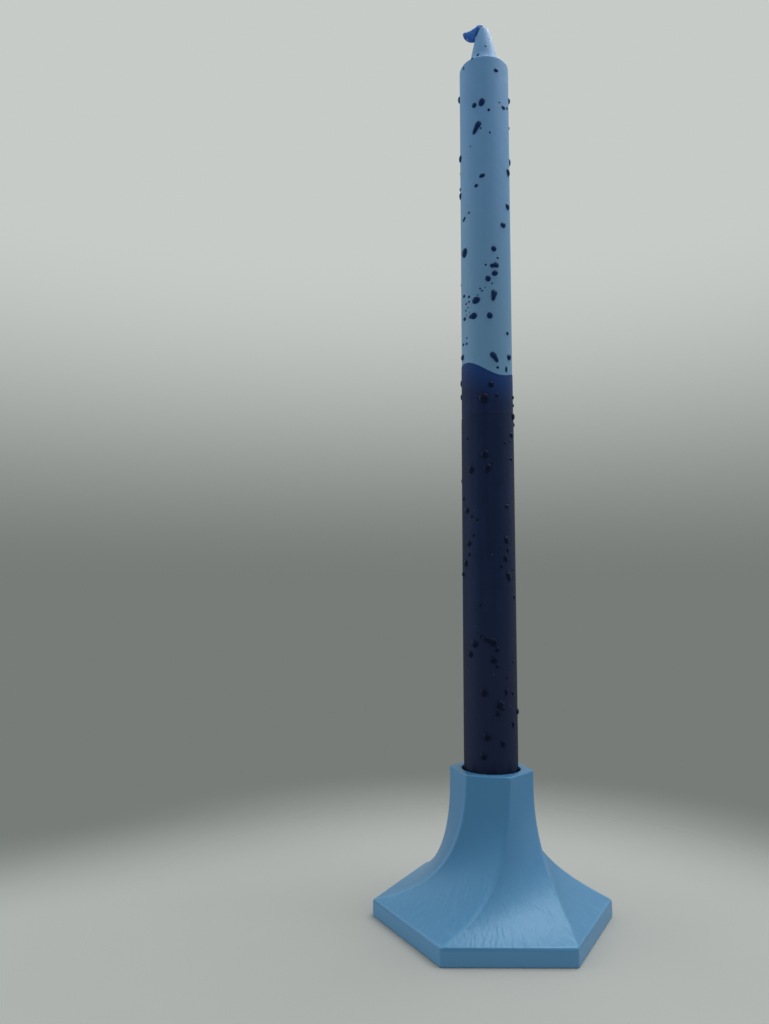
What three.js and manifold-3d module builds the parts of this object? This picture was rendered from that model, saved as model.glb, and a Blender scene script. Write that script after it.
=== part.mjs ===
// Dipped stick candle, spattered with dark wax, standing in a twisted six-sided holder.
// Millimetres, +Z up. The origin is the middle of the holder's foot, on the surface it stands on.
// The front faces -Y, and every azimuth is counted from the front towards +X.
import * as THREE from 'three';
import { mergeVertices } from 'three/addons/utils/BufferGeometryUtils.js';
import Module from 'manifold-3d';

const wasm = await Module();
wasm.setup();

// Holder
const holderHeight = 59;
const footCorner = 49; // middle of the foot to a corner of its hexagon
const slabHeight = 6.5;
const holderTwist = 46.5; // turn of the hexagon from the slab to the rim, degrees
const twistPower = 1.96; // how fast the turn dies away towards the rim
const flareSteepShare = 0.43; // share of the flare that falls off at once above the slab
const flareSteepPower = 6.9;
const flareGentlePower = 2.73;
const neckWall = 3.1; // thinnest wall round the socket, at the middle of a flat
const slabEdgeSoftness = 1.1;
const rimEdgeSoftness = 0.7;
const baseEdgeBreak = 0.4;
const socketDepth = 20;
const socketClearance = 0.8; // radial, round the dipped candle
const socketLip = 0.6; // rounding of the socket's mouth
const seatGap = 0.1; // under the candle

// Candle
const candleLength = 350;
const coreRadius = 10.9;
const wallTopDepth = 24; // top of the straight wall, below the top of the wick's bend
const shoulderEdge = 1.1; // rounding between the wall and the shoulder's upper side
const shoulderSlope = 19; // rise of the shoulder's upper side towards the cone, degrees
const coneFootDepth = 19.1; // foot of the cone, below the top of the wick's bend
const coneFootRadius = 6.1;
const coneTopRadius = 2.1;
const fluteCount = 10;
const fluteHeight = 23.7; // from the candle's foot to the top of the arches
const fluteDepth = 0.9;
const fluteRise = 9; // height over which a flute runs out to nothing
const fluteHalfAngle = 16;
const firstFluteAzimuth = -5;
const footTaper = 0.5; // radius lost from the arches down to the foot
const footEdgeBreak = 0.7;

// Dip coats
const dipThickness = 0.12;
const dipGap = 0.03;
const dipEdgeTaper = 3;
const dipEdgeShare = 0.4; // thickness left at the upper edge
const firstDipDepth = 186.9; // mean height of the first dip line above the candle's foot
const secondDipDepth = 167.8;

// Wick and the wax tail round its bent end
const wickRadius = 0.8;
const wickGap = 0.03;
const bendRadius = 1.35;
const bendTurn = 134; // degrees from upright, towards -X and down
const tailLength = 6.2;
const tailCutTilt = 9; // slant of the cut end against a square cut, degrees
const tailCutBulge = 1.2; // how far the middle of the cut end stands out past its corners
const tailCollarRadius = 1.9;
const tailBendHalfWidth = 1.15;
const tailEndHalfWidth = 3.55;
const tailEndHalfThickness = 1.5;
const tailSpread = 2; // power by which the tail spreads towards its end
const tailConeGap = 0.05;

// Drops of wax
const dropGap = 0.06;
const dropSink = 0.5; // how far a drop's foot reaches below the surface before it is cut to it
const dropRise = 0.3; // height of a drop as a share of its smaller side
const runShare = 0.35; // size of a run's end against its drop

// Facets
const candleSides = 50;
const wickSides = 10;
const dropSides = 8;
const socketSides = 40;
const hexSideSteps = 4;
const flareSteps = 22;

// Places that follow from the sizes above
const dippedRadius = coreRadius + 2 * (dipGap + dipThickness);
const socketRadius = dippedRadius + socketClearance;
const neckCorner = (socketRadius + neckWall) / Math.cos(Math.PI / 6);
const socketFloor = holderHeight - socketDepth;
const candleFoot = socketFloor + seatGap + 2 * (dipGap + dipThickness);
const tipHeight = candleFoot + candleLength;
const coneFootHeight = tipHeight - coneFootDepth;
const wallTop = tipHeight - wallTopDepth;
const coneTopHeight = tipHeight - tailBendHalfWidth - bendRadius;
const firstDipHeight = candleFoot + firstDipDepth;
const secondDipHeight = candleFoot + secondDipDepth;
const fluteTop = candleFoot + fluteHeight;

const radians = THREE.MathUtils.degToRad;
const degrees = THREE.MathUtils.radToDeg;
const cosine = (angle) => Math.cos(radians(angle));
const sine = (angle) => Math.sin(radians(angle));

// A point by azimuth from the front, distance from the axis and height
function polar(azimuth, radius, z) {
  return new THREE.Vector3(radius * sine(azimuth), -radius * cosine(azimuth), z);
}

function meanPoint(points) {
  const sum = points.reduce((total, point) => total.add(point), new THREE.Vector3());
  return sum.divideScalar(points.length);
}

// Closed body through rings of equally many points, each anticlockwise seen from the last ring's side.
// The ends are fans round a point of their own.
function ringLoft(rings, firstPoint = meanPoint(rings[0]), lastPoint = meanPoint(rings.at(-1))) {
  const count = rings[0].length;
  const points = [...rings.flat(), firstPoint, lastPoint];
  const first = points.length - 2;
  const last = points.length - 1;
  const index = [];
  for (let i = 0; i < count; i += 1) {
    const next = (i + 1) % count;
    const lastRing = (rings.length - 1) * count;
    index.push(first, next, i, last, lastRing + i, lastRing + next);
    for (let ring = 0; ring < rings.length - 1; ring += 1) {
      const low = ring * count;
      const high = low + count;
      index.push(low + i, low + next, high + next, low + i, high + next, high + i);
    }
  }
  const geometry = new THREE.BufferGeometry().setFromPoints(points);
  geometry.setIndex(index);
  return geometry;
}

// Geometry to solid and back, for joining and cutting
function solid(geometry) {
  const bare = geometry.clone();
  bare.deleteAttribute('normal');
  bare.deleteAttribute('uv');
  const merged = mergeVertices(bare, 1e-5);
  const vertProperties = new Float32Array(merged.attributes.position.array);
  const triVerts = new Uint32Array(merged.index.array);
  return new wasm.Manifold(new wasm.Mesh({ numProp: 3, vertProperties, triVerts }));
}

function geometryOf(body) {
  const mesh = body.getMesh();
  const geometry = new THREE.BufferGeometry();
  geometry.setAttribute('position', new THREE.BufferAttribute(new Float32Array(mesh.vertProperties), 3));
  geometry.setIndex([...mesh.triVerts]);
  return geometry;
}

function wax(color, roughness) {
  return new THREE.MeshStandardMaterial({ color, roughness, metalness: 0 });
}

const paints = {
  holder: new THREE.MeshStandardMaterial({ color: 0x78a4cc, roughness: 0.42, metalness: 0 }),
  paleWax: wax(0x86aed4, 0.38),
  royalWax: wax(0x24468c, 0.32),
  navyWax: wax(0x1c2850, 0.3),
  dropWax: wax(0x16365e, 0.25),
  wick: wax(0xd8d2c4, 0.95),
};

const group = new THREE.Group();

function addPiece(name, body, material) {
  const mesh = new THREE.Mesh(geometryOf(body), material.clone());
  mesh.name = name;
  group.add(mesh);
}

// Holder: a hexagon that shrinks and turns on its way up, lofted with straight sides at every height
function hexagonRing(corner, azimuth, z) {
  const ring = [];
  for (let side = 0; side < 6; side += 1) {
    const from = polar(azimuth + 60 * side, corner, z);
    const to = polar(azimuth + 60 * (side + 1), corner, z);
    for (let step = 0; step < hexSideSteps; step += 1) {
      ring.push(from.clone().lerp(to, step / hexSideSteps));
    }
  }
  return ring;
}

function flareCorner(share) {
  const left = 1 - share;
  const steep = flareSteepShare * left ** flareSteepPower;
  const gentle = (1 - flareSteepShare) * left ** flareGentlePower;
  return neckCorner + (footCorner - neckCorner) * (steep + gentle);
}

function flareRing(share) {
  const azimuth = 30 + holderTwist * (1 - (1 - share) ** twistPower);
  return hexagonRing(flareCorner(share), azimuth, slabHeight + share * (holderHeight - slabHeight));
}

// Rings round a softened edge: the outline turns from one ring to the other past the sharp corner
function softEdge(from, corner, to, steps) {
  const rings = [];
  for (let step = 0; step <= steps; step += 1) {
    const t = step / steps;
    const curve = (a, b, c) => a.clone().lerp(b, t).lerp(b.clone().lerp(c, t), t);
    rings.push(from.map((point, i) => curve(point, corner[i], to[i])));
  }
  return rings;
}

function holderBody() {
  const flareHeight = holderHeight - slabHeight;
  const slabShare = (0.3 * slabEdgeSoftness) / flareHeight;
  const rimShare = 1 - rimEdgeSoftness / flareHeight;
  const slab = (inset, z) => hexagonRing(footCorner - inset, 30, z);
  const slabSide = slab(0, slabHeight - slabEdgeSoftness);
  const rings = [slab(baseEdgeBreak, 0), slab(0, baseEdgeBreak)];
  rings.push(...softEdge(slabSide, slab(0, slabHeight), flareRing(slabShare), 3));
  for (let step = 1; step < flareSteps; step += 1) {
    const share = slabShare + (rimShare - slabShare) * (step / flareSteps) ** 1.4;
    rings.push(flareRing(share));
  }
  const rimAzimuth = 30 + holderTwist;
  const rimTop = hexagonRing(neckCorner - rimEdgeSoftness, rimAzimuth, holderHeight);
  rings.push(...softEdge(flareRing(rimShare), flareRing(1), rimTop, 3));
  return solid(ringLoft(rings)).subtract(socketCutter());
}

// Everything that is round about the axis: rings from [radius, height] pairs
function roundRings(profile, sides) {
  const around = (radius, z) => Array.from({ length: sides }, (_, i) => polar((360 / sides) * i, radius, z));
  return profile.map(([radius, z]) => around(radius, z));
}

function socketCutter() {
  const lipBottom = holderHeight - socketLip;
  const profile = [[socketRadius, socketFloor], [socketRadius, lipBottom]];
  for (const turn of [30, 60, 90]) {
    const out = socketLip * (1 - cosine(turn));
    profile.push([socketRadius + out, lipBottom + socketLip * sine(turn)]);
  }
  profile.push([socketRadius + socketLip, holderHeight + 1]);
  return solid(ringLoft(roundRings(profile, socketSides)));
}

// Candle: the flutes are grooves with a parabola for a section, so each runs out upwards in an arch
function candleRadius(azimuth, z) {
  if (z >= fluteTop) return coreRadius;
  const taper = footTaper * ((fluteTop - z) / fluteHeight);
  const pitch = 360 / fluteCount;
  const turns = (azimuth - firstFluteAzimuth) / pitch;
  const offset = (turns - Math.round(turns)) * pitch;
  const floor = fluteDepth * Math.min(1, (fluteTop - z) / fluteRise);
  const groove = floor - fluteDepth * (offset / fluteHalfAngle) ** 2;
  return coreRadius - taper - Math.max(0, groove);
}

function candleRing(offset, heightAt, radiusAt = candleRadius) {
  const ring = [];
  for (let i = 0; i < candleSides; i += 1) {
    const azimuth = (360 / candleSides) * i + firstFluteAzimuth;
    const z = heightAt(azimuth);
    ring.push(polar(azimuth, radiusAt(azimuth, z) + offset, z));
  }
  return ring;
}

// The fluted foot, grown outwards by an offset, as far as the plain round wall above the arches
function footRings(offset) {
  const bottom = candleFoot - offset;
  const broken = (azimuth, z) => candleRadius(azimuth, z) - footEdgeBreak;
  const rings = [candleRing(offset, () => bottom, broken)];
  rings.push(candleRing(offset, () => bottom + footEdgeBreak));
  for (const share of [1, 0.66, 0.4, 0.2, 0.07, 0]) {
    rings.push(candleRing(offset, () => fluteTop - share * fluteRise));
  }
  return rings;
}

// The pale upper end, grown outwards by an offset: round wall, tight shoulder, cone round the wick
function candleOutline(offset) {
  const at = (radius, height) => new THREE.Vector2(radius, height);
  const rise = Math.tan(radians(shoulderSlope));
  const sloped = (radius) => at(radius, wallTop + shoulderEdge + rise * (coreRadius - radius));
  const inner = coneFootRadius + 0.1 * (coreRadius - coneFootRadius);
  const shoulder = new THREE.QuadraticBezierCurve(
    at(coreRadius, wallTop),
    sloped(coreRadius),
    sloped(coreRadius - shoulderEdge),
  );
  const fillet = new THREE.QuadraticBezierCurve(
    sloped(coreRadius - shoulderEdge),
    sloped(inner),
    at(coneFootRadius, coneFootHeight),
  );
  const cone = new THREE.QuadraticBezierCurve(
    at(coneFootRadius, coneFootHeight),
    at(0.79 * coneFootRadius, coneFootHeight + 0.66 * (coneTopHeight - coneFootHeight)),
    at(coneTopRadius, coneTopHeight),
  );
  const rounding = [...shoulder.getPoints(3), ...fillet.getPoints(3).slice(1)];
  const profile = [...rounding, ...cone.getPoints(5).slice(1)];
  const upper = profile.map((point) => candleRing(offset, () => point.y, () => point.x));
  return solid(ringLoft([...footRings(offset), ...upper]));
}

// The wick's middle line: straight up the axis, round the bend, then down its tail
function wickStation(bend, along) {
  const middle = new THREE.Vector3(-bendRadius, 0, coneTopHeight);
  const outward = new THREE.Vector3(cosine(bend), 0, sine(bend));
  const ahead = new THREE.Vector3(-sine(bend), 0, cosine(bend));
  const centre = middle.addScaledVector(outward, bendRadius).addScaledVector(ahead, along);
  return { centre, outward, ahead };
}

function wickRing(bend, along, halfWidth, halfThickness) {
  const { centre, outward } = wickStation(bend, along);
  return Array.from({ length: wickSides }, (_, i) => {
    const turn = (360 / wickSides) * i;
    const point = centre.clone().addScaledVector(outward, halfWidth * cosine(turn));
    point.y += halfThickness * sine(turn);
    return point;
  });
}

// A point of the tail's slanted and bulging cut end, by its place across the tail
function cutPoint(across, past = 0) {
  const slant = across * Math.tan(radians(tailCutTilt));
  const bulge = tailCutBulge * (1 - (across / tailEndHalfWidth) ** 2);
  const { centre, outward } = wickStation(bendTurn, tailLength + slant + bulge + past);
  return centre.addScaledVector(outward, across);
}

function cutRing(halfWidth, halfThickness, past = 0) {
  return Array.from({ length: wickSides }, (_, i) => {
    const turn = (360 / wickSides) * i;
    const point = cutPoint(halfWidth * cosine(turn), past);
    point.y += halfThickness * sine(turn);
    return point;
  });
}

const bendSteps = [0, 0.17, 0.34, 0.5, 0.67, 0.84, 1];

function wickBody(radius, bottom, past = 0) {
  const rings = [wickRing(0, bottom - coneTopHeight, radius, radius)];
  rings.push(...bendSteps.map((share) => wickRing(share * bendTurn, 0, radius, radius)));
  rings.push(cutRing(radius, radius, past));
  return solid(ringLoft(rings, meanPoint(rings[0]), cutPoint(0, past)));
}

function wickTunnel() {
  return wickBody(wickRadius + wickGap, candleFoot - 1, 1);
}

function tailBody() {
  const rings = bendSteps.map((share) => {
    const collar = Math.max(0, 1 - 3 * share) * (tailCollarRadius - tailBendHalfWidth);
    const half = tailBendHalfWidth + collar;
    return wickRing(share * bendTurn, share === 0 ? wickGap : 0, half, half);
  });
  const widen = (share) => THREE.MathUtils.lerp(tailBendHalfWidth, tailEndHalfWidth, share ** tailSpread);
  const thicken = (share) => THREE.MathUtils.lerp(tailBendHalfWidth, tailEndHalfThickness, share);
  for (const share of [0.25, 0.5, 0.75]) {
    rings.push(wickRing(bendTurn, share * tailLength, widen(share), thicken(share)));
  }
  rings.push(cutRing(tailEndHalfWidth, tailEndHalfThickness));
  const whole = solid(ringLoft(rings, meanPoint(rings[0]), cutPoint(0)));
  return whole.subtract(wickTunnel()).subtract(candleOutline(tailConeGap));
}

// Dip lines: each is a level line, leaning because the candle was dipped at a slant
function firstDipLine(azimuth) {
  const lean = 2.8 * cosine(azimuth + 102);
  const sag = 0.95 * cosine(2 * (azimuth - 5));
  const ripple = 0.84 * cosine(3 * (azimuth + 41));
  return firstDipHeight + lean - sag + ripple;
}

function secondDipLine(azimuth) {
  return secondDipHeight + 1.35 * cosine(azimuth - 120);
}

// Outside of a dip coat, filled: it thins towards its leaning line
function coatOutline(offset, line) {
  const rings = footRings(offset);
  rings.push(candleRing(offset, (azimuth) => line(azimuth) - dipEdgeTaper));
  rings.push(candleRing(offset - (1 - dipEdgeShare) * dipThickness, line));
  return solid(ringLoft(rings));
}

// A dip coat: a thin cup over what lies under it, with the drops that have melted into it
function dipCoat(innerOffset, line, drops) {
  const filled = coatOutline(innerOffset + dipThickness, line);
  const spattered = drops.reduce((whole, drop) => whole.add(dropBody(drop)), filled);
  return spattered.subtract(candleOutline(innerOffset));
}

// Radius of whatever wax lies outermost at a place on the straight wall
function surfaceRadius(azimuth, z) {
  if (z < secondDipLine(azimuth)) return dippedRadius;
  if (z < firstDipLine(azimuth)) return coreRadius + dipGap + dipThickness;
  return coreRadius;
}

// A low dome of wax wrapped onto the wall, its foot below the surface. A run draws one end of the dome out.
function dropBody(drop) {
  const [runSide, runUp] = drop.run;
  const outline = Array.from({ length: dropSides }, (_, i) => {
    const a = 0.5 * drop.across * cosine((360 / dropSides) * i);
    const b = 0.5 * drop.along * sine((360 / dropSides) * i);
    const side = a * cosine(drop.lean) + b * sine(drop.lean);
    const up = b * cosine(drop.lean) - a * sine(drop.lean);
    const runs = side * runSide + up * runUp > 0.1;
    return { side, up, spine: runs ? drop.run : [0, 0], scale: runs ? runShare : 1 };
  });
  const rest = surfaceRadius(drop.azimuth, drop.height);
  const onWall = (side, up, out) => {
    return polar(drop.azimuth + degrees(side / coreRadius), rest + out, drop.height + up);
  };
  const rise = dropRise * Math.min(drop.across, drop.along);
  const ring = (share, lift) => outline.map(({ side, up, spine, scale }) => {
    const reach = share * scale;
    return onWall(spine[0] + reach * side, spine[1] + reach * up, lift > 0 ? lift * scale : lift);
  });
  const rings = [ring(1.2, -dropSink), ring(0.9, 0.55 * rise), ring(0.5, 0.92 * rise)];
  return solid(ringLoft(rings, onWall(0, 0, -dropSink), onWall(0, 0, rise)));
}

// A flick of the brush: a row of drops that turns round the candle and falls, each smaller than the last
function flick(azimuth, share, turn, fall, count, size) {
  return Array.from({ length: count }, (_, i) => {
    const across = size * 0.84 ** i;
    const along = across * (i % 2 ? 1.2 : 0.9);
    return [azimuth + turn * i, share - fall * i, across, along, 25 * Math.sign(turn)];
  });
}

// Places of the drops: azimuth, share of the way up their zone, size around, size along, lean clockwise
// and the run's end to the side and up
const paleDrops = [
  [22, 0.962, 2.6, 1.7, -10],
  [-31, 0.848, 2.3, 2.5],
  [-13, 0.853, 2.7, 4.2, 20],
  [3, 0.826, 1.4, 1.4],
  [43, 0.847, 2.5, 1.9, -10],
  [-21, 0.782, 3, 3.2, 0, [-2.7, -4.5]],
  [-84, 0.704, 2.6, 3.4, 10],
  [60, 0.641, 2.6, 3.8, -25],
  [-14, 0.61, 3.1, 1.8, -20],
  [-86, 0.581, 2.4, 2.8],
  [-28, 0.581, 1.9, 1.7],
  [54, 0.524, 2.7, 3.1, -35],
  [-65, 0.489, 3.2, 1.4, -32],
  [37, 0.456, 3.3, 2.6, -20],
  [-64, 0.378, 3.4, 4.3, 12],
  [11, 0.373, 2.4, 2.7],
  [16, 0.321, 2.8, 3, 0, [-1.9, -0.4]],
  [13, 0.295, 3.3, 2.4, -32],
  [-3, 0.277, 2.5, 2.7],
  [-68, 0.239, 1.9, 1.5],
  [10, 0.232, 3.2, 3.3, 0, [-0.5, -3.5]],
  [-31, 0.212, 3.9, 3.1, -12],
  [-66, 0.165, 2.2, 1.7],
  [-37, 0.164, 3.3, 3, 0, [-2.3, 0]],
  [0, 0.16, 2.7, 3],
  [47, 0.112, 1.9, 1.7],
  [-78, 0.046, 2.6, 2.8],
  [6, 0.036, 3, 3.1, 0, [2.3, -3.1]],
  [52, 0.038, 3, 2.8, -30],
  [41, -0.003, 1.5, 3],
  [80, 0.689, 2, 3.6, -10],
  ...flick(81, 0.899, 29, 0.045, 4, 2.8),
  ...flick(-99, 0.919, -20, 0.05, 4, 3.2),
  ...flick(150, 0.6, 11, 0.05, 3, 2.6),
  ...flick(110, 0.4, 13, 0.03, 3, 3.1),
  ...flick(-116, 0.3, -14, 0.035, 4, 2.9),
];

const darkDrops = [
  [1, 0.954, 2.9, 2.5],
  [-15, 0.92, 4.4, 4.5],
  [67, 0.88, 2.6, 3.2],
  [57, 0.83, 3, 2.5],
  [-14, 0.777, 3.5, 3.8],
  [-47, 0.74, 3, 3.4],
  [-8, 0.743, 3.5, 3.2, 0, [-0.8, -2.1]],
  [38, 0.647, 3.6, 1.6, -20],
  [-61, 0.638, 2.8, 2.6],
  [34, 0.562, 2.7, 3.2],
  [-56, 0.554, 3, 2.6],
  [31, 0.517, 2.4, 3.2],
  [-67, 0.505, 2.6, 3.2],
  [38, 0.475, 2.6, 3, 0, [0.9, -2.5]],
  [1, 0.312, 3, 3.4, 0, [-5.2, 2]],
  [-42, 0.307, 3.5, 3.1],
  [-54, 0.281, 3, 2.7],
  [1, 0.27, 3.6, 2.8],
  [-21, 0.192, 3.1, 3.7],
  [28, 0.192, 1.6, 3.1],
  [13, 0.163, 3.8, 3.4, -35],
  [70, 0.14, 2.5, 2.6],
  [48, 0.113, 1.9, 2.8],
  [-15, 0.087, 3.6, 3.2],
  [19, 0.071, 2.7, 2.9],
  [-23, 0.041, 3.1, 3],
  ...flick(110, 0.9, 12, 0.05, 3, 2.8),
  ...flick(-115, 0.72, -10, 0.06, 4, 3),
  ...flick(160, 0.55, 11, 0.05, 3, 2.6),
  ...flick(-150, 0.36, 13, 0.05, 3, 2.8),
  ...flick(120, 0.22, -9, 0.045, 2, 3),
];

function dropsBetween(rows, low, high) {
  return rows.map(([azimuth, share, across, along, lean = 0, run = [0, 0]]) => {
    return { azimuth, height: low + share * (high - low), across, along, lean, run };
  });
}

const reachesSecondCoat = (drop) => drop.height - drop.along / 2 < secondDipLine(drop.azimuth);
const melted = dropsBetween(darkDrops, holderHeight, firstDipHeight);
const onFirstCoat = melted.filter((drop) => !reachesSecondCoat(drop));
const onSecondCoat = melted.filter(reachesSecondCoat);
const firstOffset = dipGap;
const secondOffset = 2 * dipGap + dipThickness;

// What the loose drops lie on, grown by their gap
const underDrops = candleOutline(dropGap)
  .add(coatOutline(firstOffset + dipThickness + dropGap, firstDipLine))
  .add(coatOutline(secondOffset + dipThickness + dropGap, secondDipLine));

addPiece('holder', holderBody(), paints.holder);
addPiece('candle_body', candleOutline(0).subtract(wickTunnel()), paints.paleWax);
addPiece('first_dip_coat', dipCoat(firstOffset, firstDipLine, onFirstCoat), paints.royalWax);
addPiece('second_dip_coat', dipCoat(secondOffset, secondDipLine, onSecondCoat), paints.navyWax);
addPiece('wick', wickBody(wickRadius, candleFoot), paints.wick);
addPiece('wick_wax', tailBody(), paints.royalWax);

// The loose drops: each is cut to what it lies on, and to the drops before it where they crowd each other
const crowd = [];
dropsBetween(paleDrops, firstDipHeight, wallTop).forEach((drop, i) => {
  const name = `wax_drop_${String(i + 1).padStart(2, '0')}`;
  const seated = dropBody(drop).subtract(underDrops);
  addPiece(name, crowd.reduce((rest, earlier) => rest.subtract(earlier), seated), paints.dropWax);
  crowd.push(dropBody({ ...drop, across: drop.across + 2 * dropGap, along: drop.along + 2 * dropGap }));
});

export default group;
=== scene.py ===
"""Looks for a dipped stick candle, spattered with dark wax, in a twisted six-sided holder.

Sizes are millimetres from the middle of the holder's foot, +Z up, with the front facing -Y. Every azimuth
is counted in degrees from the front towards +X. Meshes are turned into metres as they are made.
"""
import logging
import math
import random
from dataclasses import dataclass, field
from enum import Enum
from typing import Callable, Iterator, Optional, Sequence, Union

import bpy
import numpy as np
from mathutils import Euler, Matrix, Vector, geometry


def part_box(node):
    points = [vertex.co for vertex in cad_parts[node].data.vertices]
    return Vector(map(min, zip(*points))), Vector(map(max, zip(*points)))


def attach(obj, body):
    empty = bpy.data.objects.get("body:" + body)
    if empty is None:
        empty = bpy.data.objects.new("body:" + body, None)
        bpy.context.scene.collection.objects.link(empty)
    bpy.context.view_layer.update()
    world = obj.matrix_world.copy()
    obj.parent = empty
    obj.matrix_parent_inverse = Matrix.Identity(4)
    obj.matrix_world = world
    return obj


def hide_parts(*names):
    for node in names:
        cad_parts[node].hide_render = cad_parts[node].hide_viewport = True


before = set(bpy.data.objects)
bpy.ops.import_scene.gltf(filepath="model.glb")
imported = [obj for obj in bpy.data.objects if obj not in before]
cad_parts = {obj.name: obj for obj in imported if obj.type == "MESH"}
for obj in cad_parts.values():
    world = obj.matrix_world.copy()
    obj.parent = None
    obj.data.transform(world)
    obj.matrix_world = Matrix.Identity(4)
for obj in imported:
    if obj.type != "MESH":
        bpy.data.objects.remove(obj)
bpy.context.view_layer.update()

MM = 0.001
MARK = "mark"  # point attribute, from 0 to 1, that the finishes read

log = logging.getLogger("candle")

Array = np.ndarray
Values = Union[float, Array]
Colour = tuple[float, float, float]
Line = Callable[[Values], Values]
DropRow = tuple[Union[float, tuple[float, float]], ...]


class Body(Enum):
    """The two bodies of the frame that pieces ride on."""

    HOLDER = "holder"
    CANDLE = "candle"


class Slot(Enum):
    """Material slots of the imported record."""

    HOLDER_PAINT = "holder_paint"
    PALE_WAX = "pale_wax"
    ROYAL_WAX = "royal_wax"
    NAVY_WAX = "navy_wax"
    DROP_WAX = "drop_wax"
    TAIL_WAX = "tail_wax"
    COTTON_WICK = "cotton_wick"


def srgb(red: float, green: float, blue: float) -> Colour:
    """Turn a display colour of 0 to 255 into the linear colour that a shader takes.

    Args:
        red: Display red.
        green: Display green.
        blue: Display blue.

    Returns:
        The linear colour, each channel from 0 to 1.
    """

    def linear(channel: float) -> float:
        """Return one channel in linear light."""
        share = channel / 255
        return share / 12.92 if share <= 0.04045 else ((share + 0.055) / 1.055) ** 2.4

    return linear(red), linear(green), linear(blue)


def polar(azimuth: Values, radius: Values, z: Values) -> Array:
    """Place points round the axis.

    Args:
        azimuth: Degrees from the front towards +X.
        radius: Distance from the axis.
        z: Height.

    Returns:
        Points as rows of x, y and z.
    """
    turn = np.radians(azimuth)
    parts = np.broadcast_arrays(radius * np.sin(turn), -radius * np.cos(turn), z)
    return np.stack(parts, axis=-1).astype(float)


def ease(low: float, high: float, value: Values) -> Values:
    """Return 0 below low, 1 above high and a smooth rise between them."""
    share = np.clip((value - low) / (high - low), 0, 1)
    return share * share * (3 - 2 * share)


def curve(corners: Sequence[tuple[float, float]], steps: int) -> Array:
    """Follow a Bezier curve.

    Args:
        corners: Its control points.
        steps: Number of steps.

    Returns:
        The points as rows, both ends among them.
    """
    share = np.linspace(0, 1, steps + 1)[:, None]
    rows = [np.array(corner, dtype=float) for corner in corners]
    while len(rows) > 1:
        rows = [(1 - share) * first + share * second for first, second in zip(rows, rows[1:])]
    return rows[0]


# Meshes


@dataclass
class Loft:
    """A closed surface through rings of equally many points.

    Each ring turns anticlockwise seen from the next ring's side. The two ends are closed by fans, or the
    last ring is joined to the first where the loft closes on itself.
    """

    rings: list[Array] = field(default_factory=list)
    marks: list[Array] = field(default_factory=list)
    closes: bool = False

    def add(self, ring: Array, mark: Values = 0.0) -> None:
        """Append a ring.

        Args:
            ring: Points of the ring.
            mark: A value from 0 to 1 for each of its points, which the finish reads.
        """
        self.rings.append(ring)
        self.marks.append(np.broadcast_to(mark, len(ring)))

    def faces(self, start: int) -> list[tuple[int, ...]]:
        """List the faces.

        Args:
            start: Index of the loft's first point in its mesh.

        Returns:
            Point indices of every quad and fan triangle.
        """
        count = len(self.rings[0])
        here = np.arange(count)
        after = (here + 1) % count
        steps = len(self.rings) if self.closes else len(self.rings) - 1
        faces: list[tuple[int, ...]] = []
        for step in range(steps):
            low = start + step * count
            high = start + (step + 1) % len(self.rings) * count
            quads = np.stack([low + here, low + after, high + after, high + here], axis=1)
            faces.extend(map(tuple, quads.tolist()))
        if not self.closes:
            first = start + len(self.rings) * count
            top = start + (len(self.rings) - 1) * count
            faces.extend((first, start + j, start + i) for i, j in zip(here.tolist(), after.tolist()))
            faces.extend((first + 1, top + i, top + j) for i, j in zip(here.tolist(), after.tolist()))
        return faces

    def points(self) -> Array:
        """Gather the points.

        Returns:
            The points of the rings, and after them the middles of the two fans.
        """
        rows = list(self.rings)
        if not self.closes:
            rows.append(np.stack([self.rings[0].mean(axis=0), self.rings[-1].mean(axis=0)]))
        return np.concatenate(rows)

    def values(self) -> Array:
        """Gather the marks.

        Returns:
            The marks in the order of the points.
        """
        rows = list(self.marks)
        if not self.closes:
            rows.append(np.array([self.marks[0].mean(), self.marks[-1].mean()]))
        return np.concatenate(rows)


def mesh_piece(name: str, lofts: Sequence[Loft]) -> bpy.types.Object:
    """Make one smooth-shaded object of one or more lofts.

    Args:
        name: Name of the piece.
        lofts: The closed surfaces it is made of.

    Returns:
        The new object, linked to the scene.
    """
    faces: list[tuple[int, ...]] = []
    start = 0
    for loft in lofts:
        faces.extend(loft.faces(start))
        start += len(loft.points())
    points = np.concatenate([loft.points() for loft in lofts]) * MM
    mesh = bpy.data.meshes.new(name)
    mesh.from_pydata(points.tolist(), [], faces)
    layer = mesh.attributes.new(MARK, "FLOAT", "POINT")
    layer.data.foreach_set("value", np.concatenate([loft.values() for loft in lofts]).astype(np.float32))
    mesh.shade_smooth()
    mesh.validate()
    piece = bpy.data.objects.new(name, mesh)
    bpy.context.scene.collection.objects.link(piece)
    return piece


def place(piece: bpy.types.Object, body: Body, slot: Slot, finish: "Finish",
          nodes: Sequence[str] = ()) -> None:
    """Dress a piece and tie it to the frame.

    Args:
        piece: The object.
        body: Body that it moves with.
        slot: Material slot of the record; not used.
        finish: What it is dressed in.
        nodes: CAD nodes that it stands for.
    """
    piece.data.materials.append(finish.material())
    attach(piece, body.value)
    if nodes:
        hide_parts(*nodes)
    count = len(piece.data.polygons)
    log.info("%s: %d faces on %s, for %s", piece.name, count, body.value, nodes or "itself")


# Shader maths


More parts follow.
